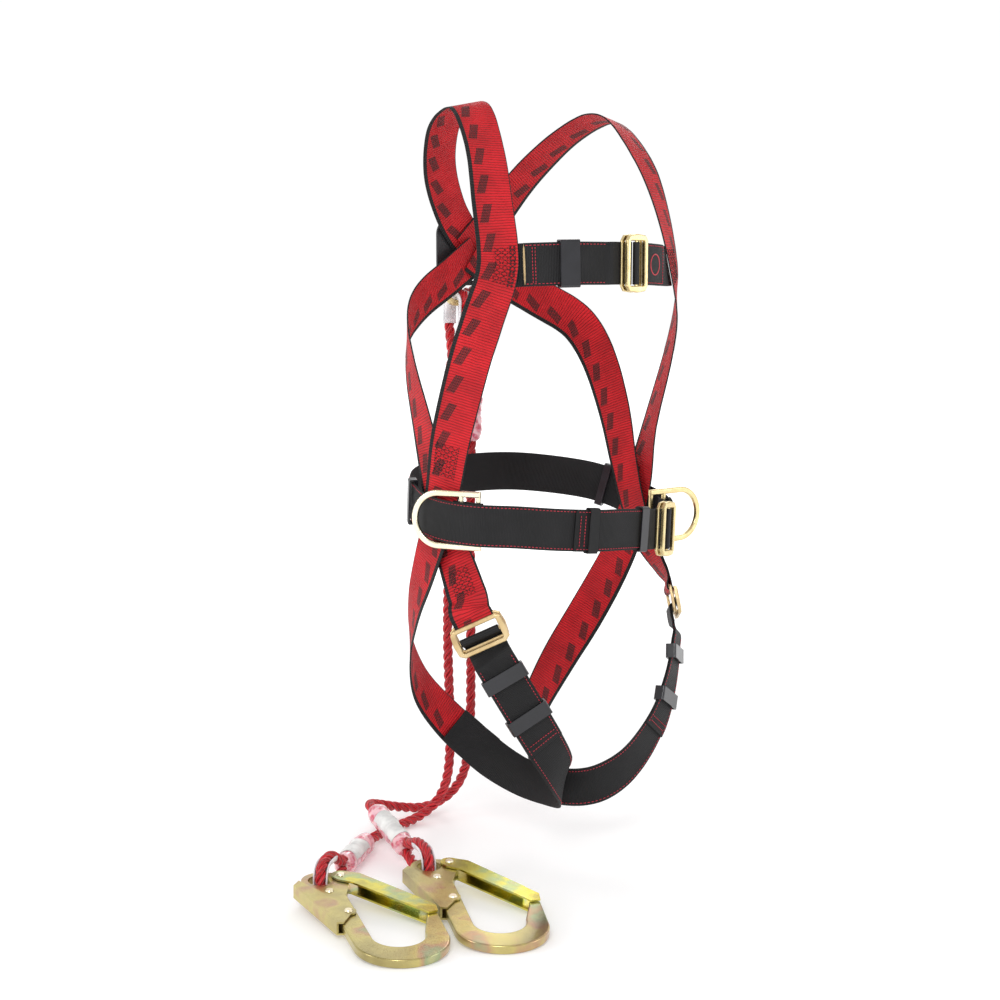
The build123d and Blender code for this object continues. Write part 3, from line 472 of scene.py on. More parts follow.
def crosses(ribbon, start, end, low, high, columns, turns):
    """Load-bearing zigzags: columns of crossed lines between two distances."""
    segments = []
    step = (high - low) / columns
    for c in range(columns):
        left, right = low + c * step, low + (c + 1) * step - 0.8
        for first in (0, 1):
            line = []
            for k in range(turns + 1):
                across = left if (k + first) % 2 else right
                line.append((start + (end - start) * k / turns, across))
            segments += dashes(ribbon, line, 3.2, 2.5)
    return segments


# ---------------- materials
class Shader:
    """A material with short helpers for its nodes."""

    def __init__(self, name, **settings):
        self.material = bpy.data.materials.new(name)
        self.material.use_nodes = True
        self.tree = self.material.node_tree
        self.principled = self.tree.nodes["Principled BSDF"]
        for key, value in settings.items():
            self.principled.inputs[key.replace("_", " ")].default_value = value

    def node(self, kind, **settings):
        made = self.tree.nodes.new(kind)
        for key, value in settings.items():
            setattr(made, key, value)
        return made

    def plug(self, target, value):
        if isinstance(value, bpy.types.NodeSocket):
            self.tree.links.new(value, target)
        else:
            target.default_value = value

    def math(self, operation, a, b=0.0):
        made = self.node("ShaderNodeMath", operation=operation)
        for target, value in zip(made.inputs, (a, b)):
            self.plug(target, value)
        return made.outputs[0]

    def add(self, a, b):
        return self.math("ADD", a, b)

    def mul(self, a, b):
        return self.math("MULTIPLY", a, b)

    def sine(self, a):
        return self.math("SINE", a)

    def abs(self, a):
        return self.math("ABSOLUTE", a)

    def step(self, value, low, high):
        """0 below low, 1 above high, even between."""
        made = self.node("ShaderNodeMapRange", interpolation_type="SMOOTHSTEP")
        for key, number in (("Value", value), ("From Min", low), ("From Max", high)):
            self.plug(made.inputs[key], number)
        return made.outputs[0]

    def mix(self, share, a, b):
        made = self.node("ShaderNodeMix", data_type="RGBA")
        for target, value in ((made.inputs[0], share), (made.inputs[6], a), (made.inputs[7], b)):
            self.plug(target, value)
        return made.outputs[2]

    def attribute(self, name):
        made = self.node("ShaderNodeAttribute", attribute_name=name)
        split = self.node("ShaderNodeSeparateXYZ")
        self.tree.links.new(made.outputs["Vector"], split.inputs[0])
        return split.outputs

    def noise(self, scale, detail=3.0, roughness=0.5):
        made = self.node("ShaderNodeTexNoise")
        self.plug(made.inputs["Scale"], scale)
        self.plug(made.inputs["Detail"], detail)
        self.plug(made.inputs["Roughness"], roughness)
        self.tree.links.new(self.node("ShaderNodeTexCoord").outputs["Object"], made.inputs["Vector"])
        return made.outputs[0]

    def ramp(self, value, stops):
        made = self.node("ShaderNodeValToRGB")
        elements = made.color_ramp.elements
        while len(elements) < len(stops):
            elements.new(0.5)
        for element, (place, colour) in zip(elements, stops):
            element.position = place
            element.color = colour
        self.tree.links.new(value, made.inputs[0])
        return made.outputs[0]

    def bump(self, height, distance, strength=1.0):
        made = self.node("ShaderNodeBump")
        made.inputs["Distance"].default_value = distance
        made.inputs["Strength"].default_value = strength
        self.tree.links.new(height, made.inputs["Height"])
        return made.outputs[0]

    def finish(self, colour=None, roughness=None, normal=None):
        for key, value in (("Base Color", colour), ("Roughness", roughness), ("Normal", normal)):
            if value is not None:
                self.plug(self.principled.inputs[key], value)
        return self.material


def rgb(r, g, b):
    return (r, g, b, 1.0)


# Each webbing colour is followed by a darker one: painted shade for the grooves between the ribs.
RED = rgb(0.56, 0.009, 0.016)
RED_GROOVE_SHADE = rgb(0.2, 0.003, 0.006)
BLACK = rgb(0.011, 0.011, 0.012)
BLACK_GROOVE_SHADE = rgb(0.0015, 0.0015, 0.002)
RIB_RED = 0.0029
RIB_BLACK = 0.0017
GROOVE_SHADE_FADE = (0.05, 0.6)                # share of a rib's height over which the painted shade in its groove fades
YARNS = 6500.0                      # radians for each metre across
MARK_PITCH = 0.031
MARK_ACROSS = 0.0085
MARK_LONG, MARK_WIDE = 0.0098, 0.0048       # half sizes
MARK_SLANT = -0.32
BROAD_EDGE = (0.0046, 0.0042)       # from the edge, where the black begins and is full
NARROW_EDGE = (0.0014, 0.001)


def webbing_material(name, rib, base, groove_shade, marked):
    """Woven webbing: ribs across it, yarns along it, with painted shade in the grooves between ribs; the red
    one has black edges and marks.
    """
    s = Shader(name, Roughness=0.62, Specular_IOR_Level=0.28)
    across, along, _ = s.attribute("strap")
    drift = s.mul(s.noise(90.0, 2.0), rib * 0.5)
    phase = s.math("DIVIDE", s.add(along, drift), rib)
    rib_height = s.abs(s.sine(s.mul(phase, math.pi)))
    yarn = s.sine(s.mul(s.add(across, s.mul(along, 0.5)), YARNS))
    edge_in = WEB_WIDTH / 2 * MM
    # painted shade: the grooves between ribs take the darker colour
    colour = s.mix(s.step(rib_height, *GROOVE_SHADE_FADE), groove_shade, base)
    if marked:
        skewed = s.math("SUBTRACT", across, MARK_ACROSS)
        local = s.math("SUBTRACT", s.math("MODULO", s.add(along, 1.0), MARK_PITCH), MARK_PITCH / 2)
        skewed = s.add(skewed, s.mul(local, MARK_SLANT))
        inside = s.mul(s.math("LESS_THAN", s.abs(local), MARK_LONG),
                       s.math("LESS_THAN", s.abs(skewed), MARK_WIDE))
        waves = s.mul(s.sine(s.mul(skewed, 2100.0)), s.sine(s.mul(s.add(local, skewed), 1500.0)))
        dots = s.mul(inside, s.step(s.abs(waves), 0.04, 0.2))
        broad = s.step(across, *(edge_in - inset for inset in BROAD_EDGE))
        narrow = s.step(s.mul(across, -1.0), *(edge_in - inset for inset in NARROW_EDGE))
        black = s.math("MAXIMUM", s.math("MAXIMUM", broad, narrow), s.mul(dots, 0.93))
        # the black edges and marks also get painted shade in their grooves
        black_with_groove_shade = s.mix(s.step(rib_height, *GROOVE_SHADE_FADE), BLACK_GROOVE_SHADE, rgb(0.012, 0.012, 0.013))
        colour = s.mix(black, colour, black_with_groove_shade)
    tone = s.noise(35.0, 4.0)
    shade = s.mix(s.step(tone, 0.3, 0.75), rgb(0.8, 0.8, 0.8), rgb(1.15, 1.12, 1.12))
    lit = s.node("ShaderNodeMix", data_type="RGBA", blend_type="MULTIPLY")
    lit.inputs[0].default_value = 1.0
    s.plug(lit.inputs[6], colour)
    s.plug(lit.inputs[7], shade)
    height = s.add(rib_height, s.mul(yarn, 0.13))
    normal = s.bump(height, rib * 0.2, 1.0)
    rough = s.add(0.5, s.mul(rib_height, 0.12))
    return s.finish(lit.outputs[2], rough, normal)


def metal_material(name, stops, scale, rough, grain, coat=0.0):
    """Zinc-plated steel: a tint that wanders over the plate, fine grain and faint scratches."""
    s = Shader(name, Metallic=1.0, Coat_Weight=coat, Coat_Roughness=0.08)
    tint = s.noise(scale, 3.0, 0.55)
    colour = s.ramp(tint, stops)
    fine = s.noise(1400.0, 4.0, 0.7)
    spots = s.step(s.noise(420.0, 5.0, 0.75), 0.62, 0.8)
    dulled = s.mix(s.mul(spots, 0.25), colour, rgb(0.25, 0.19, 0.1))
    roughness = s.add(rough, s.mul(fine, 0.16))
    return s.finish(dulled, roughness, s.bump(fine, grain, 0.35))


def plastic_material(name, colour, rough, texture, coat=0.0):
    s = Shader(name, Coat_Weight=coat, Coat_Roughness=0.15)
    grain = s.noise(2600.0, 3.0, 0.6)
    cloud = s.noise(60.0, 3.0)
    darker = tuple(c * 0.7 for c in colour[:3]) + (1.0,)
    base = s.mix(s.step(cloud, 0.3, 0.7), darker, colour)
    return s.finish(base, s.add(rough, s.mul(cloud, 0.12)), s.bump(grain, texture, 0.5))


def rope_material(name, base, groove_shade):
    """Twisted synthetic rope: each strand is a bundle of fine yarns, bright on their crowns, with painted
    shade in the grooves between yarns and strands.
    """
    s = Shader(name, Roughness=0.42, Sheen_Weight=0.15, Sheen_Roughness=0.35)
    turn, along, _ = s.attribute("strand")
    yarns, bundle = (s.sine(s.add(s.mul(turn, count * math.pi), s.mul(along, lay)))
                     for count, lay in ((14, 900.0), (6, 260.0)))
    # painted shade: the grooves between yarns and strands take the darker colour
    yarn_groove_shade_mask = s.step(s.add(s.mul(yarns, 0.5), s.mul(bundle, 0.5)), -0.9, 0.8)
    colour = s.mix(yarn_groove_shade_mask, groove_shade, base)
    return s.finish(colour, None, s.bump(s.add(yarns, bundle), 0.00022, 0.8))


def sleeve_material(name):
    """Clear shrink sleeve, milky, with the red strands showing through and a painted highlight on the crests
    of its wrinkles.
    """
    s = Shader(name, Coat_Weight=0.8, Coat_Roughness=0.12, Subsurface_Weight=0.25, Subsurface_Scale=0.004)
    turn, along, _ = s.attribute("strand")
    spiral = s.add(s.mul(turn, 3.0), s.mul(along, 56.0))
    warp = s.mul(s.noise(110.0, 3.0), 0.9)
    strand = s.abs(s.sine(s.mul(s.add(spiral, warp), math.pi)))
    seen = s.mul(s.step(strand, 0.25, 0.95), s.step(s.noise(170.0, 4.0), 0.3, 0.62))
    colour = s.mix(seen, rgb(0.86, 0.52, 0.56), rgb(0.62, 0.09, 0.15))
    wrinkles_and_highlight = s.noise(260.0, 4.0, 0.6)
    # painted highlight: near-white colour on the crests of the wrinkles
    colour = s.mix(s.step(wrinkles_and_highlight, 0.62, 0.78), colour, rgb(0.92, 0.8, 0.82))
    roughness = s.add(0.22, s.mul(wrinkles_and_highlight, 0.2))
    return s.finish(colour, roughness, s.bump(s.add(wrinkles_and_highlight, strand), 0.0006, 0.7))


GOLD = [(0.25, rgb(0.62, 0.47, 0.22)), (0.45, rgb(0.82, 0.68, 0.36)), (0.6, rgb(0.72, 0.56, 0.28)),
        (0.8, rgb(0.86, 0.76, 0.47))]
BRONZE = [(0.25, rgb(0.46, 0.32, 0.17)), (0.5, rgb(0.62, 0.46, 0.24)), (0.75, rgb(0.72, 0.57, 0.33))]
PALE = [(0.3, rgb(0.86, 0.76, 0.52)), (0.6, rgb(0.93, 0.86, 0.66)), (0.8, rgb(0.82, 0.7, 0.45))]
RAINBOW = [(0.25, rgb(0.33, 0.27, 0.11)), (0.42, rgb(0.5, 0.42, 0.17)), (0.52, rgb(0.6, 0.51, 0.19)),
           (0.6, rgb(0.53, 0.34, 0.2)), (0.68, rgb(0.36, 0.42, 0.23)), (0.8, rgb(0.62, 0.56, 0.28))]
GATE = [(0.3, rgb(0.46, 0.4, 0.1)), (0.46, rgb(0.74, 0.65, 0.1)), (0.58, rgb(0.44, 0.52, 0.24)),
        (0.72, rgb(0.64, 0.42, 0.22))]

MATERIALS = {
    "red": webbing_material("webbing red", RIB_RED, RED, RED_GROOVE_SHADE, True),
    "black": webbing_material("webbing black", RIB_BLACK, BLACK, BLACK_GROOVE_SHADE, False),
    "red_thread": plastic_material("thread red", rgb(0.62, 0.03, 0.06), 0.55, 0.0001),
    "black_thread": plastic_material("thread black", rgb(0.006, 0.006, 0.007), 0.7, 0.0001),
    "tan": plastic_material("binding tan", rgb(0.5, 0.36, 0.18), 0.7, 0.0002),
    "emblem": plastic_material("emblem ring", rgb(0.6, 0.03, 0.05), 0.5, 0.0001),
    "gold": metal_material("zinc gold", GOLD, 34.0, 0.2, 0.00004),
    "bronze": metal_material("zinc bronze", BRONZE, 46.0, 0.3, 0.00006),
    "pale": metal_material("zinc pale", PALE, 22.0, 0.16, 0.00003),
    "rainbow": metal_material("zinc iridescent", RAINBOW, 17.0, 0.2, 0.00004, coat=0.25),
    "gate": metal_material("zinc gate", GATE, 26.0, 0.18, 0.00004, coat=0.25),
    "steel": metal_material("rivet steel", PALE, 40.0, 0.22, 0.00003),
    "plate": plastic_material("plastic dark", rgb(0.02, 0.02, 0.023), 0.45, 0.0003),
    "keeper": plastic_material("plastic keeper", rgb(0.008, 0.008, 0.012), 0.25, 0.00005, coat=0.25),
    "elastic": plastic_material("elastic", rgb(0.008, 0.008, 0.009), 0.75, 0.0004),
    "rope": rope_material("rope red", rgb(0.72, 0.02, 0.03), rgb(0.3, 0.004, 0.01)),
    "sleeve": sleeve_material("sleeve clear"),
    "thimble": plastic_material("plastic white", rgb(0.86, 0.83, 0.86), 0.3, 0.0001, coat=0.3),
    "label": plastic_material("label blank", rgb(0.86, 0.86, 0.84), 0.5, 0.00005),
}


def paint_hardware():
    """Finishes of the CAD pieces that stay as they are."""
    finishes = {
        "chest_buckle": "gold", "belt_buckle": "gold", "leg_right_buckle": "bronze",
        "leg_left_buckle": "bronze", "hip_ring_right": "pale", "hip_ring_left": "gold",
        "dorsal_ring": "gold", "dorsal_plate": "plate", "belt_keeper_elastic": "elastic",
        "hook_a_body": "rainbow", "hook_b_body": "rainbow", "hook_a_lever": "rainbow",
        "hook_b_lever": "rainbow", "hook_a_gate": "gate", "hook_b_gate": "gate",
        "hook_a_rivets": "steel", "hook_b_rivets": "steel"}
    for name, node in NODES.items():
        found = [key for start, key in finishes.items() if name.startswith(start)]
        if not found and ("keeper" in name or name.startswith("belt_loop")):
            found = ["keeper"]
        if found and "_ring_loop" not in name:
            node.data.materials.clear()
            node.data.materials.append(MATERIALS[found[0]])


# ---------------- straps
def build_shoulders():
    right = webbing("shoulder_right", smooth(SHOULDER_RIGHT), "red", "shoulder_strap_right", outer=-1)
    left = webbing("shoulder_left", smooth(SHOULDER_LEFT), "red", "shoulder_strap_left", outer=1)
    sewing = []
    for ribbon, route, low, high in ((right, SHOULDER_RIGHT, -4, 20), (left, SHOULDER_LEFT, -20, 12)):
        chest = ribbon.nearest(route[7][:3])
        sewing += crosses(ribbon, chest - 19, chest + 17, low, high, 3, 7)
        if ribbon is right:
            sewing += crosses(ribbon, chest - 21, chest + 19, 12, 20, 2, 12)
        hip = ribbon.nearest(route[11][:3])
        sewing += crosses(ribbon, hip - 48, hip - 14, -14, 12, 3, 6)
        for across in (-14, 12):
            sewing += dashes(ribbon, [(hip - 50, across), (hip - 12, across)], 3.0, 2.4)
    thread_mesh("shoulder_stitching", sewing, "black")


def build_pelvis():
    for side, route in (("right", PELVIC_RIGHT), ("left", PELVIC_LEFT)):
        webbing(f"pelvic_{side}", smooth(route), "red", f"pelvic_strap_{side}",
                outer=1 if side == "right" else -1)


def leg_buckle_place(side):
    if side == "right":
        return Place((-131.5, -43.5, -106), (0.28, -0.327, -0.902), (-0.76, -0.65, 0))
    return Place((152, -48.5, -106), (-0.08, -0.356, -0.93), (0.78, -0.62, 0.17))


def build_leg(side, back_route, leg_path):
    """Thigh end of the back strap and the adjustable leg strap."""
    place = leg_buckle_place(side)
    back = smooth(back_route)
    total = distances(back)[-1]
    sewn = backward(lifted(stretch(back, total - SEWN_TAIL, total - 2), -LAYER))
    route = back + flat_path(place, side_bar_thread()) + flipped(sewn)
    red = webbing(f"back_{side}", route, "red", f"back_strap_{side}", outer=-1 if side == "right" else 1)
    joint = red.nearest(back[-1][0])
    lines = crosses(red, joint - 36, joint - 4, -13, 13, 3, 6)
    crossing = red.nearest(back[4][0])
    lines += crosses(red, crossing + 46, crossing + 76, -13, 13, 3, 6)
    thread_mesh(f"back_{side}_stitching", lines, "black")
    tail = backward(lifted(stretch(leg_path, 2, LOOSE_TAIL), LAYER))
    standing = flipped(stretch(leg_path, 2, distances(leg_path)[-1]))
    black = webbing(f"leg_{side}", tail + flat_path(place, plate_thread()) + standing, "black",
                    f"leg_strap_{side}")
    outer_end = LOOSE_TAIL - 4
    rows = edge_rows(black, 3, outer_end, FLAT_STITCH_INSET, FLAT_STITCH_HEIGHT)
    rows += edge_rows(black, outer_end + 75, black.length - 3, FLAT_STITCH_INSET, -FLAT_STITCH_HEIGHT)
    rows += bars(black, (6, 12), 17)
    thread_mesh(f"leg_{side}_stitching", rows, "red")


def build_chest():
    chest = smooth(CHEST)
    place = place_at(chest, CHEST_BUCKLE_AT).offset(-INNER_LEVEL)
    near = CHEST_BUCKLE_AT - BUCKLE_REACH - 4
    far = CHEST_BUCKLE_AT + BUCKLE_REACH + 4
    tail = lifted(stretch(chest, near - CHEST_TAIL, near), LAYER)
    standing = backward(flipped(stretch(chest, 4, near)))
    right = webbing("chest_right", tail + flat_path(place, frame_thread()) + standing, "black",
                    "chest_strap_right")
    full = distances(chest)[-1]
    outer = backward(lifted(stretch(chest, far, full - 4), LAYER))
    sewn = flipped(stretch(chest, far, far + SEWN_TAIL))
    left = webbing("chest_left", outer + flat_path(place, plate_thread()) + sewn, "black", "chest_strap_left")
    rows = edge_rows(right, 2, CHEST_TAIL - 2)
    rows += bars(right, (9, 12), 19)
    span = full - 4 - far
    rows += edge_rows(left, span - 44, span - 1)
    rows += bars(left, (span - 44, span - 1), 19.9)
    thread_mesh("chest_stitching", rows, "red")
    edge = right.at(np.full(2, 0.4), np.array([-21.0, 21.0]), WEB_THICK / 2)
    thread_mesh("chest_binding", [(edge[0], edge[1])], "black", "tan", radius=1.3)
    emblem(left, span - 22)


def emblem(ribbon, along):
    """A plain woven ring, with nothing inside it."""
    turns = np.linspace(0, 2 * math.pi, 49)[:-1]
    points = []
    rings = [(11.8, 0.0), (11.6, 0.35), (10.6, 0.35), (10.4, 0.0)]
    for radius, height in rings:
        points.append(ribbon.at(along + radius * np.cos(turns), radius * np.sin(turns),
                                WEB_THICK / 2 + height))
    points = np.concatenate(points)
    faces = rings_to_faces(len(rings), len(turns), caps=False)
    piece = make_object("emblem_ring", points, faces)
    finish_piece(piece, MATERIALS["emblem"], "webbing_red", "harness")


def build_belt():
    belt = smooth(BELT)
    length = distances(belt)[-1]
    at = place_at(belt, BELT_BUCKLE_AT)
    place = Place(at.origin, at.x_dir * -1, at.z_dir).offset(-INNER_LEVEL)
    near = BELT_BUCKLE_AT + BUCKLE_REACH + 4
    far = length + BELT_BUCKLE_AT - BUCKLE_REACH - 4
    tail = backward(lifted(stretch(belt, near, near + LOOSE_TAIL), LAYER))
    waist = flipped(stretch(belt, near, far))
    ending = flipped(flat_path(place, backward(plate_thread())))
    sewn = backward(lifted(stretch(belt, far - SEWN_TAIL, far), LAYER))
    ribbon = webbing("work_belt", tail + flat_path(place, frame_thread()) + waist + ending + sewn,
                     "black", "belt_webbing")
    rows = edge_rows(ribbon, 3, LOOSE_TAIL - 2)
    rows += bars(ribbon, (6, 12), 17)
    under = ribbon.nearest(place_at(belt, near + LOOSE_TAIL - 4).origin)
    rows += edge_rows(ribbon, under, ribbon.length - SEWN_TAIL - 70, height=-STITCH_HEIGHT)
    thread_mesh("belt_stitching", rows, "red")
    for side, index, shift, front in (("right", 8, 0, -1), ("left", 23, -12, 1)):
        on_belt = place_at(belt, distances(belt)[index * STRAP_STEPS] + shift)
        ahead = Vector((on_belt.x_dir.x, on_belt.x_dir.y, 0)) * front
        base = Place(on_belt.origin, ahead, on_belt.z_dir).offset(-RING_UNDER_BELT)
        under = -(RING_THICK / 2 + FIT + WEB_THICK / 2)
        over = 2 + FIT + WEB_THICK / 2 - RING_SLOT * math.sin(math.radians(RING_LEAN))
        loop = flat_path(base, [(-13, under), (0, under), (7, under + 0.6), (15, over - 0.6),
                                (RING_SLOT, over), (27, over - 1.4)])
        webbing(f"ring_loop_{side}", loop, "black", f"hip_ring_loop_{side}")


# ---------------- ropes
STRAND_RADIUS = 2.85
STRAND_OFFSET = 3.15
STRAND_PITCH = 34.0
STRAND_SIDES = 10
ROPE_STEP = 1.7
EYE_OPEN_AT = 28.0          # the eye's strands are fully apart from here to the bend
EYE_BEND_AT = 20.0
EASE_STEPS = 12
CUP_END = 42.0
CUP_GAP = 0.35
CUP_WALL = 1.5              # thinner than the solid thimble's
CUP_SPREAD = 98
NECK = 7.0                  # length over which a sleeve draws in at its ends
LABEL_ENDS = (14, 26)
LABEL_SPREAD = 62
HOOK_FOOT = 184.0
FLOOR_GAP = 0.2
BACK_LABEL_TURN = 200
LABEL_TURN = {"a": 285, "b": 250}


def carried_frames(points):
    """Directions across a path that don't twist with it."""
    tangents = unit_rows(np.gradient(points, axis=0))
    first = np.cross(tangents[0], [0.31, 0.87, 0.38])
    u = [first / np.linalg.norm(first)]
    for tangent in tangents[1:]:
        turned = u[-1] - tangent * np.dot(u[-1], tangent)
        u.append(turned / np.linalg.norm(turned))
    u = np.array(u)
    return u, np.cross(tangents, u)


def resampled(points, step):
    run = run_along(points)
    places = np.linspace(0, run[-1], max(3, round(run[-1] / step) + 1))
    return np.stack([np.interp(places, run, points[:, k]) for k in range(3)], 1), places


def twisted_rope(name, path, node):
    """Three strands laid round a path in millimetres."""
    points, run = resampled(np.asarray(path, float), ROPE_STEP)
    u, v = carried_frames(points)
    verts, marks, faces = [], [], []
    sides = np.arange(STRAND_SIDES) * 2 * math.pi / STRAND_SIDES
    for strand in range(3):
        angle = 2 * math.pi * (run / STRAND_PITCH + strand / 3)
        out = u * np.cos(angle)[:, None] + v * np.sin(angle)[:, None]
        side = v * np.cos(angle)[:, None] - u * np.sin(angle)[:, None]
        start = len(verts)
        ring = (out[:, None] * (STRAND_OFFSET + STRAND_RADIUS * np.cos(sides))[None, :, None]
                + side[:, None] * (STRAND_RADIUS * 1.12 * np.sin(sides))[None, :, None])
        verts.extend((points[:, None] + ring).reshape(-1, 3))
        for r in run:
            marks.extend([(k / STRAND_SIDES, r * MM, strand) for k in range(STRAND_SIDES)])
        faces += rings_to_faces(len(points), STRAND_SIDES, start)
    piece = make_object(name, verts, faces, [("strand", marks)])
    finish_piece(piece, MATERIALS["rope"], "rope", "harness", node)
    return piece


def spline_points(name, route):
    """Points of the smooth line of a free rope, read from its NURBS spline, in metres."""
    data = bpy.data.curves.new(name, "CURVE")
    data.dimensions = "3D"
    data.resolution_u = 24
    spline = data.splines.new("NURBS")
    spline.points.add(len(route) - 1)
    for point, (x, y, z) in zip(spline.points, route):
        point.co = (x * MM, y * MM, z * MM, 1.0)
    spline.order_u = 3
    spline.use_endpoint_u = True
    line = placed(name, data)
    bpy.context.view_layer.update()
    mesh = bpy.data.meshes.new_from_object(line)
    points = np.array([list(v.co) for v in mesh.vertices])
    bpy.data.objects.remove(line)
    bpy.data.meshes.remove(mesh)
    return points


def eye_line(place, exit_level, low, high):
    """Centre line of a spliced eye, from the sleeve round the bar and back."""
    middle, turn = (low + high) / 2, (high - low) / 2
    inside = SLEEVE_START + 4

    def strand(level, end):
        for k in range(EASE_STEPS):
            share = k / EASE_STEPS
            ease = share * share * (3 - 2 * share)
            x = inside + (EYE_OPEN_AT - inside) * share
            yield x, end + (level - end) * ease

    over = list(strand(high, exit_level + ROPE / 2))
    under = list(strand(low, exit_level - ROPE / 2))
    bend = [(turn - turn * math.cos(math.radians(a)), middle + turn * math.sin(math.radians(a)))
            for a in range(80, -81, -10)]
    flat = over + [(EYE_BEND_AT, high)] + bend + [(EYE_BEND_AT, low)] + under[::-1]
    return np.array([list(place.at(x, 0, z)) for x, z in flat]), flat


def build_thimble(name, place, flat, node):
    """White gutter that cups the rope's inner side all round the eye."""
    inner = [p for p in flat if p[0] < CUP_END]
    x, z = np.array(inner).T
    tangent = unit_rows(np.stack([np.gradient(x), np.gradient(z)], 1))
    inward = np.stack([tangent[:, 1], -tangent[:, 0]], 1)
    centre = np.array([x.mean() + 6, z.mean()])
    flip = np.sign(((centre - np.array(inner)) * inward).sum(1))
    inward *= flip[:, None]
    reach = np.radians(np.linspace(-CUP_SPREAD, CUP_SPREAD, 15))
    near, far = ROPE / 2 + CUP_GAP, ROPE / 2 + CUP_GAP + CUP_WALL
    section = [(near * math.cos(a), near * math.sin(a)) for a in reach]
    section += [(far * math.cos(a), far * math.sin(a)) for a in reach[::-1]]
    points = []
    for (px, pz), (nx, nz) in zip(inner, inward):
        for depth, side in section:
            points.append(list(place.at(px + nx * depth, side, pz + nz * depth)))
    faces = rings_to_faces(len(inner), len(section))
    piece = make_object(name, points, faces)
    finish_piece(piece, MATERIALS["thimble"], "thimble_plastic", "harness", node)
    return piece


def build_sleeve(name, start, end, node, label_turn):
    """Shrink sleeve over the splice, drawn in round the strands, with a blank label."""
    start, end = np.array(list(start)), np.array(list(end))
    direction = end - start
    length = np.linalg.norm(direction)
    direction /= length
    u = np.cross(direction, [0.0, 0.0, 1.0] if abs(direction[2]) < 0.9 else [0.0, 1.0, 0.0])
    u /= np.linalg.norm(u)
    v = np.cross(direction, u)
    sides = 48
    turns = np.arange(sides) * 2 * math.pi / sides
    run = np.linspace(0, length, max(8, round(length / 1.6)))
    points, marks = [], []

    def radius(along, turn):
        ends = min(along, length - along)
        shoulder = 1 - 0.3 * max(0.0, 1 - ends / NECK) ** 2
        lay = 0.55 * np.cos(3 * turn - 2 * math.pi * along / STRAND_PITCH)
        ripple = 0.35 * math.sin(along * 0.55) + 0.25 * math.sin(along * 1.37 + 1.0)
        return (SLEEVE / 2 - 1.2 + lay + ripple) * shoulder

    def skin(along, turns, lift):
        around = np.outer(np.cos(turns), u) + np.outer(np.sin(turns), v)
        return start + direction * along + around * (radius(along, turns) + lift)[:, None]

    for along in run:
        points.extend(skin(along, turns, 0.0))
        marks.extend([(t / (2 * math.pi), along * MM, 0) for t in turns])
    piece = make_object(name, points, rings_to_faces(len(run), sides), [("strand", marks)])
    finish_piece(piece, MATERIALS["sleeve"], "sleeve_plastic", "harness", node)
    label_span = np.linspace(LABEL_ENDS[0], length - LABEL_ENDS[1], 24)
    label_turns = np.radians(np.linspace(label_turn - LABEL_SPREAD, label_turn + LABEL_SPREAD, 22))
    points = []         # inner skin first, so these faces point inwards
    for along in label_span:
        points.extend(skin(along, label_turns, 0.25))
        points.extend(skin(along, label_turns[::-1], 0.55))
    label = make_object(f"{name}_label", points, rings_to_faces(len(label_span), 2 * len(label_turns)))
    finish_piece(label, MATERIALS["label"], "sleeve_plastic", "harness")
    return piece, label


def hook_place(x, y, turn):
    """Plane of a hook on the floor: eye raised by the rope, bottom on the floor."""
    tilt = math.radians(HOOK_TILT)
    x_dir = Vector((math.cos(math.radians(turn)), math.sin(math.radians(turn)), 0))
    y_dir = Vector((0, 0, 1)).cross(x_dir)
    z_dir = Vector((0, 0, 1)) * math.cos(tilt) - y_dir * math.sin(tilt)
    lowest = HOOK_FOOT * math.sin(tilt) + HOOK_PLATE / 2 * math.cos(tilt)
    return Place((x, y, FLOOR + lowest + FLOOR_GAP), x_dir, z_dir)


def build_lanyard():
    """Two rope legs from the ring on the back to the hooks on the floor."""
    for leg, side in (("a", -1), ("b", 1)):
        x, y, turn, heading = HOOKS[leg]
        hook = hook_place(x, y, turn)
        hole = hook.at(HOOK_EYE[0], HOOK_EYE[1], 0)
        towards = Vector((math.cos(math.radians(heading)), math.sin(math.radians(heading)), 0))
        top = BACK_EYE_TOP + Vector((side * BACK_EYE_APART, 0, 0))
        down = Vector((side * 0.05, 0, -1)).normalized()
        ends = {
            "hook": (Place(hole, towards, (0, 0, 1)), HOOK_EXIT[leg], LOW_STRAND, HIGH_STRAND, ROPES[leg][0],
                     LABEL_TURN[leg]),
            "dorsal": (Place(top, down, (0, 1, 0)), 0.0, -BACK_STRAND, BACK_STRAND, ROPES[leg][-1],
                       BACK_LABEL_TURN)}
        on_rope = []
        for end, (place, exit_level, low, high, rope_end, label_turn) in ends.items():
            name = f"{end}_{leg}"
            line, flat = eye_line(place, exit_level, low, high)
            eye = twisted_rope(f"{name}_spliced_eye", line, f"{name}_eye")
            cup = build_thimble(f"{name}_thimble_cup", place, flat, f"{name}_thimble")
            start = place.at(SLEEVE_START, 0, exit_level)
            cover, label = build_sleeve(f"{name}_cover", start, Vector(rope_end), f"{name}_sleeve",
                                        label_turn)
            on_rope += [eye, cup, cover, label]
        throats = [ends[end][0].at(SLEEVE_START, 0, ends[end][1]) for end in ("hook", "dorsal")]
        route = [throats[0], *ROPES[leg], throats[1]]
        line = spline_points(f"rope_{leg}_line", route)
        free = twisted_rope(f"rope_{leg}_strands", line / MM, f"rope_{leg}")
        on_rope += [NODES[f"hook_{leg}_{part}"] for part in ("body", "gate", "lever", "rivets")]


# ---------------- stage, light and camera
VIEW = (0.64493, 0.75331, -0.1288)      # where the camera looks, and the surroundings are brightest
GLOW_FROM, GLOW_TO = 0.6, 2.6       # distance over which the floor's own light grows, in metres
GLOW_NEAR, GLOW_FAR = 0.2, 0.5


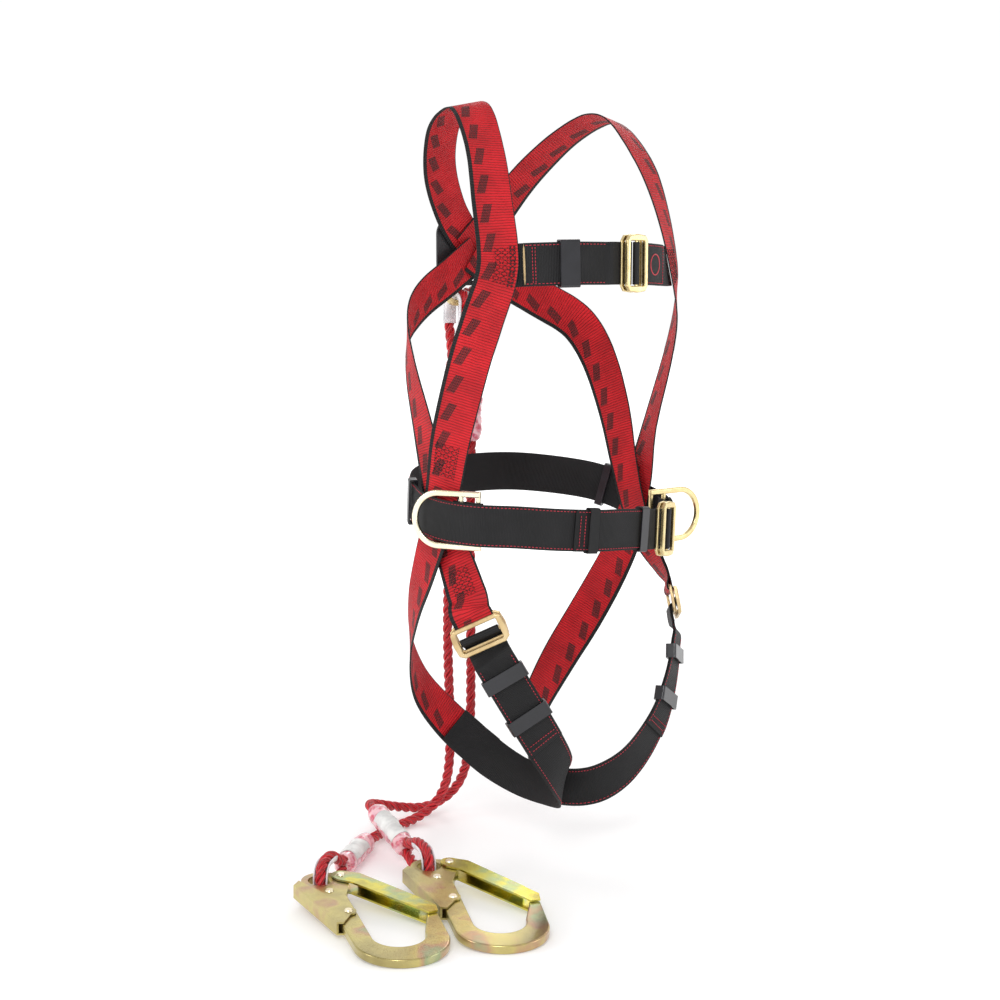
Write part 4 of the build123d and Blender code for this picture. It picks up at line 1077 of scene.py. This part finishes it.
def build_stage():
    mesh = bpy.data.meshes.new("floor")
    half = 9.0
    z = FLOOR * MM
    corners = [(-half, -half, z), (half, -half, z), (half, half, z), (-half, half, z)]
    mesh.from_pydata(corners, [], [(0, 1, 2, 3)])
    floor = placed("floor", mesh)
    paper = Shader("floor paper", Roughness=0.75)
    tone = paper.noise(3.0, 2.0)
    paper.principled.inputs["Emission Color"].default_value = rgb(1, 1, 1)
    away = paper.node("ShaderNodeVectorMath", operation="LENGTH")
    paper.plug(away.inputs[0], paper.node("ShaderNodeTexCoord").outputs["Object"])
    glow = paper.mul(paper.step(away.outputs["Value"], GLOW_FROM, GLOW_TO), GLOW_FAR)
    paper.plug(paper.principled.inputs["Emission Strength"], paper.add(glow, GLOW_NEAR))
    mesh.materials.append(paper.finish(paper.mix(tone, rgb(0.84, 0.84, 0.84), rgb(0.87, 0.87, 0.87))))
    world = bpy.data.worlds.new("studio")
    world.use_nodes = True
    nodes, links = world.node_tree.nodes, world.node_tree.links
    direction = nodes.new("ShaderNodeTexCoord").outputs["Generated"]
    facing = nodes.new("ShaderNodeVectorMath")
    facing.operation = "DOT_PRODUCT"
    facing.inputs[1].default_value = VIEW
    links.new(direction, facing.inputs[0])
    spread = nodes.new("ShaderNodeMapRange")
    spread.interpolation_type = "SMOOTHSTEP"
    for key, value in (("From Min", 0.3), ("From Max", 0.85), ("To Min", 0.75), ("To Max", 1.02)):
        spread.inputs[key].default_value = value
    links.new(facing.outputs["Value"], spread.inputs["Value"])
    links.new(spread.outputs[0], nodes["Background"].inputs["Strength"])
    nodes["Background"].inputs["Color"].default_value = rgb(1, 1, 1)
    bpy.context.scene.world = world
    lamps = [("key", (-2.0, -1.7, 1.5), 0.9, 27.0), ("fill", (1.7, -2.0, 0.6), 1.0, 9.0),
             ("back", (1.9, 1.5, 1.7), 0.9, 12.0), ("side", (-2.4, 0.8, 0.5), 0.7, 12.0)]
    for name, place, size, power in lamps:
        data = bpy.data.lights.new(name, "AREA")
        data.size = size
        data.energy = power
        lamp = placed(name, data)
        lamp.location = place
        lamp.rotation_euler = (Vector((0, 0, 0.05)) - Vector(place)).to_track_quat("-Z", "Y").to_euler()


def build_camera():
    data = bpy.data.cameras.new("camera")
    data.lens = 64.8
    data.sensor_width = 36.0
    data.clip_start = 0.05
    camera = placed("camera", data)
    camera.location = (-1.33826, -1.48629, 0.28)
    camera.rotation_euler = Vector(VIEW).to_track_quat("-Z", "Y").to_euler()
    bpy.context.scene.camera = camera


build_camera()
build_stage()
bpy.context.scene.view_settings.view_transform = "Standard"
build_lanyard()
build_shoulders()
build_pelvis()
build_leg("right", BACK_RIGHT, smooth(LEG_RIGHT))
build_leg("left", BACK_LEFT, smooth(LEG_LEFT))
build_chest()
build_belt()
paint_hardware()
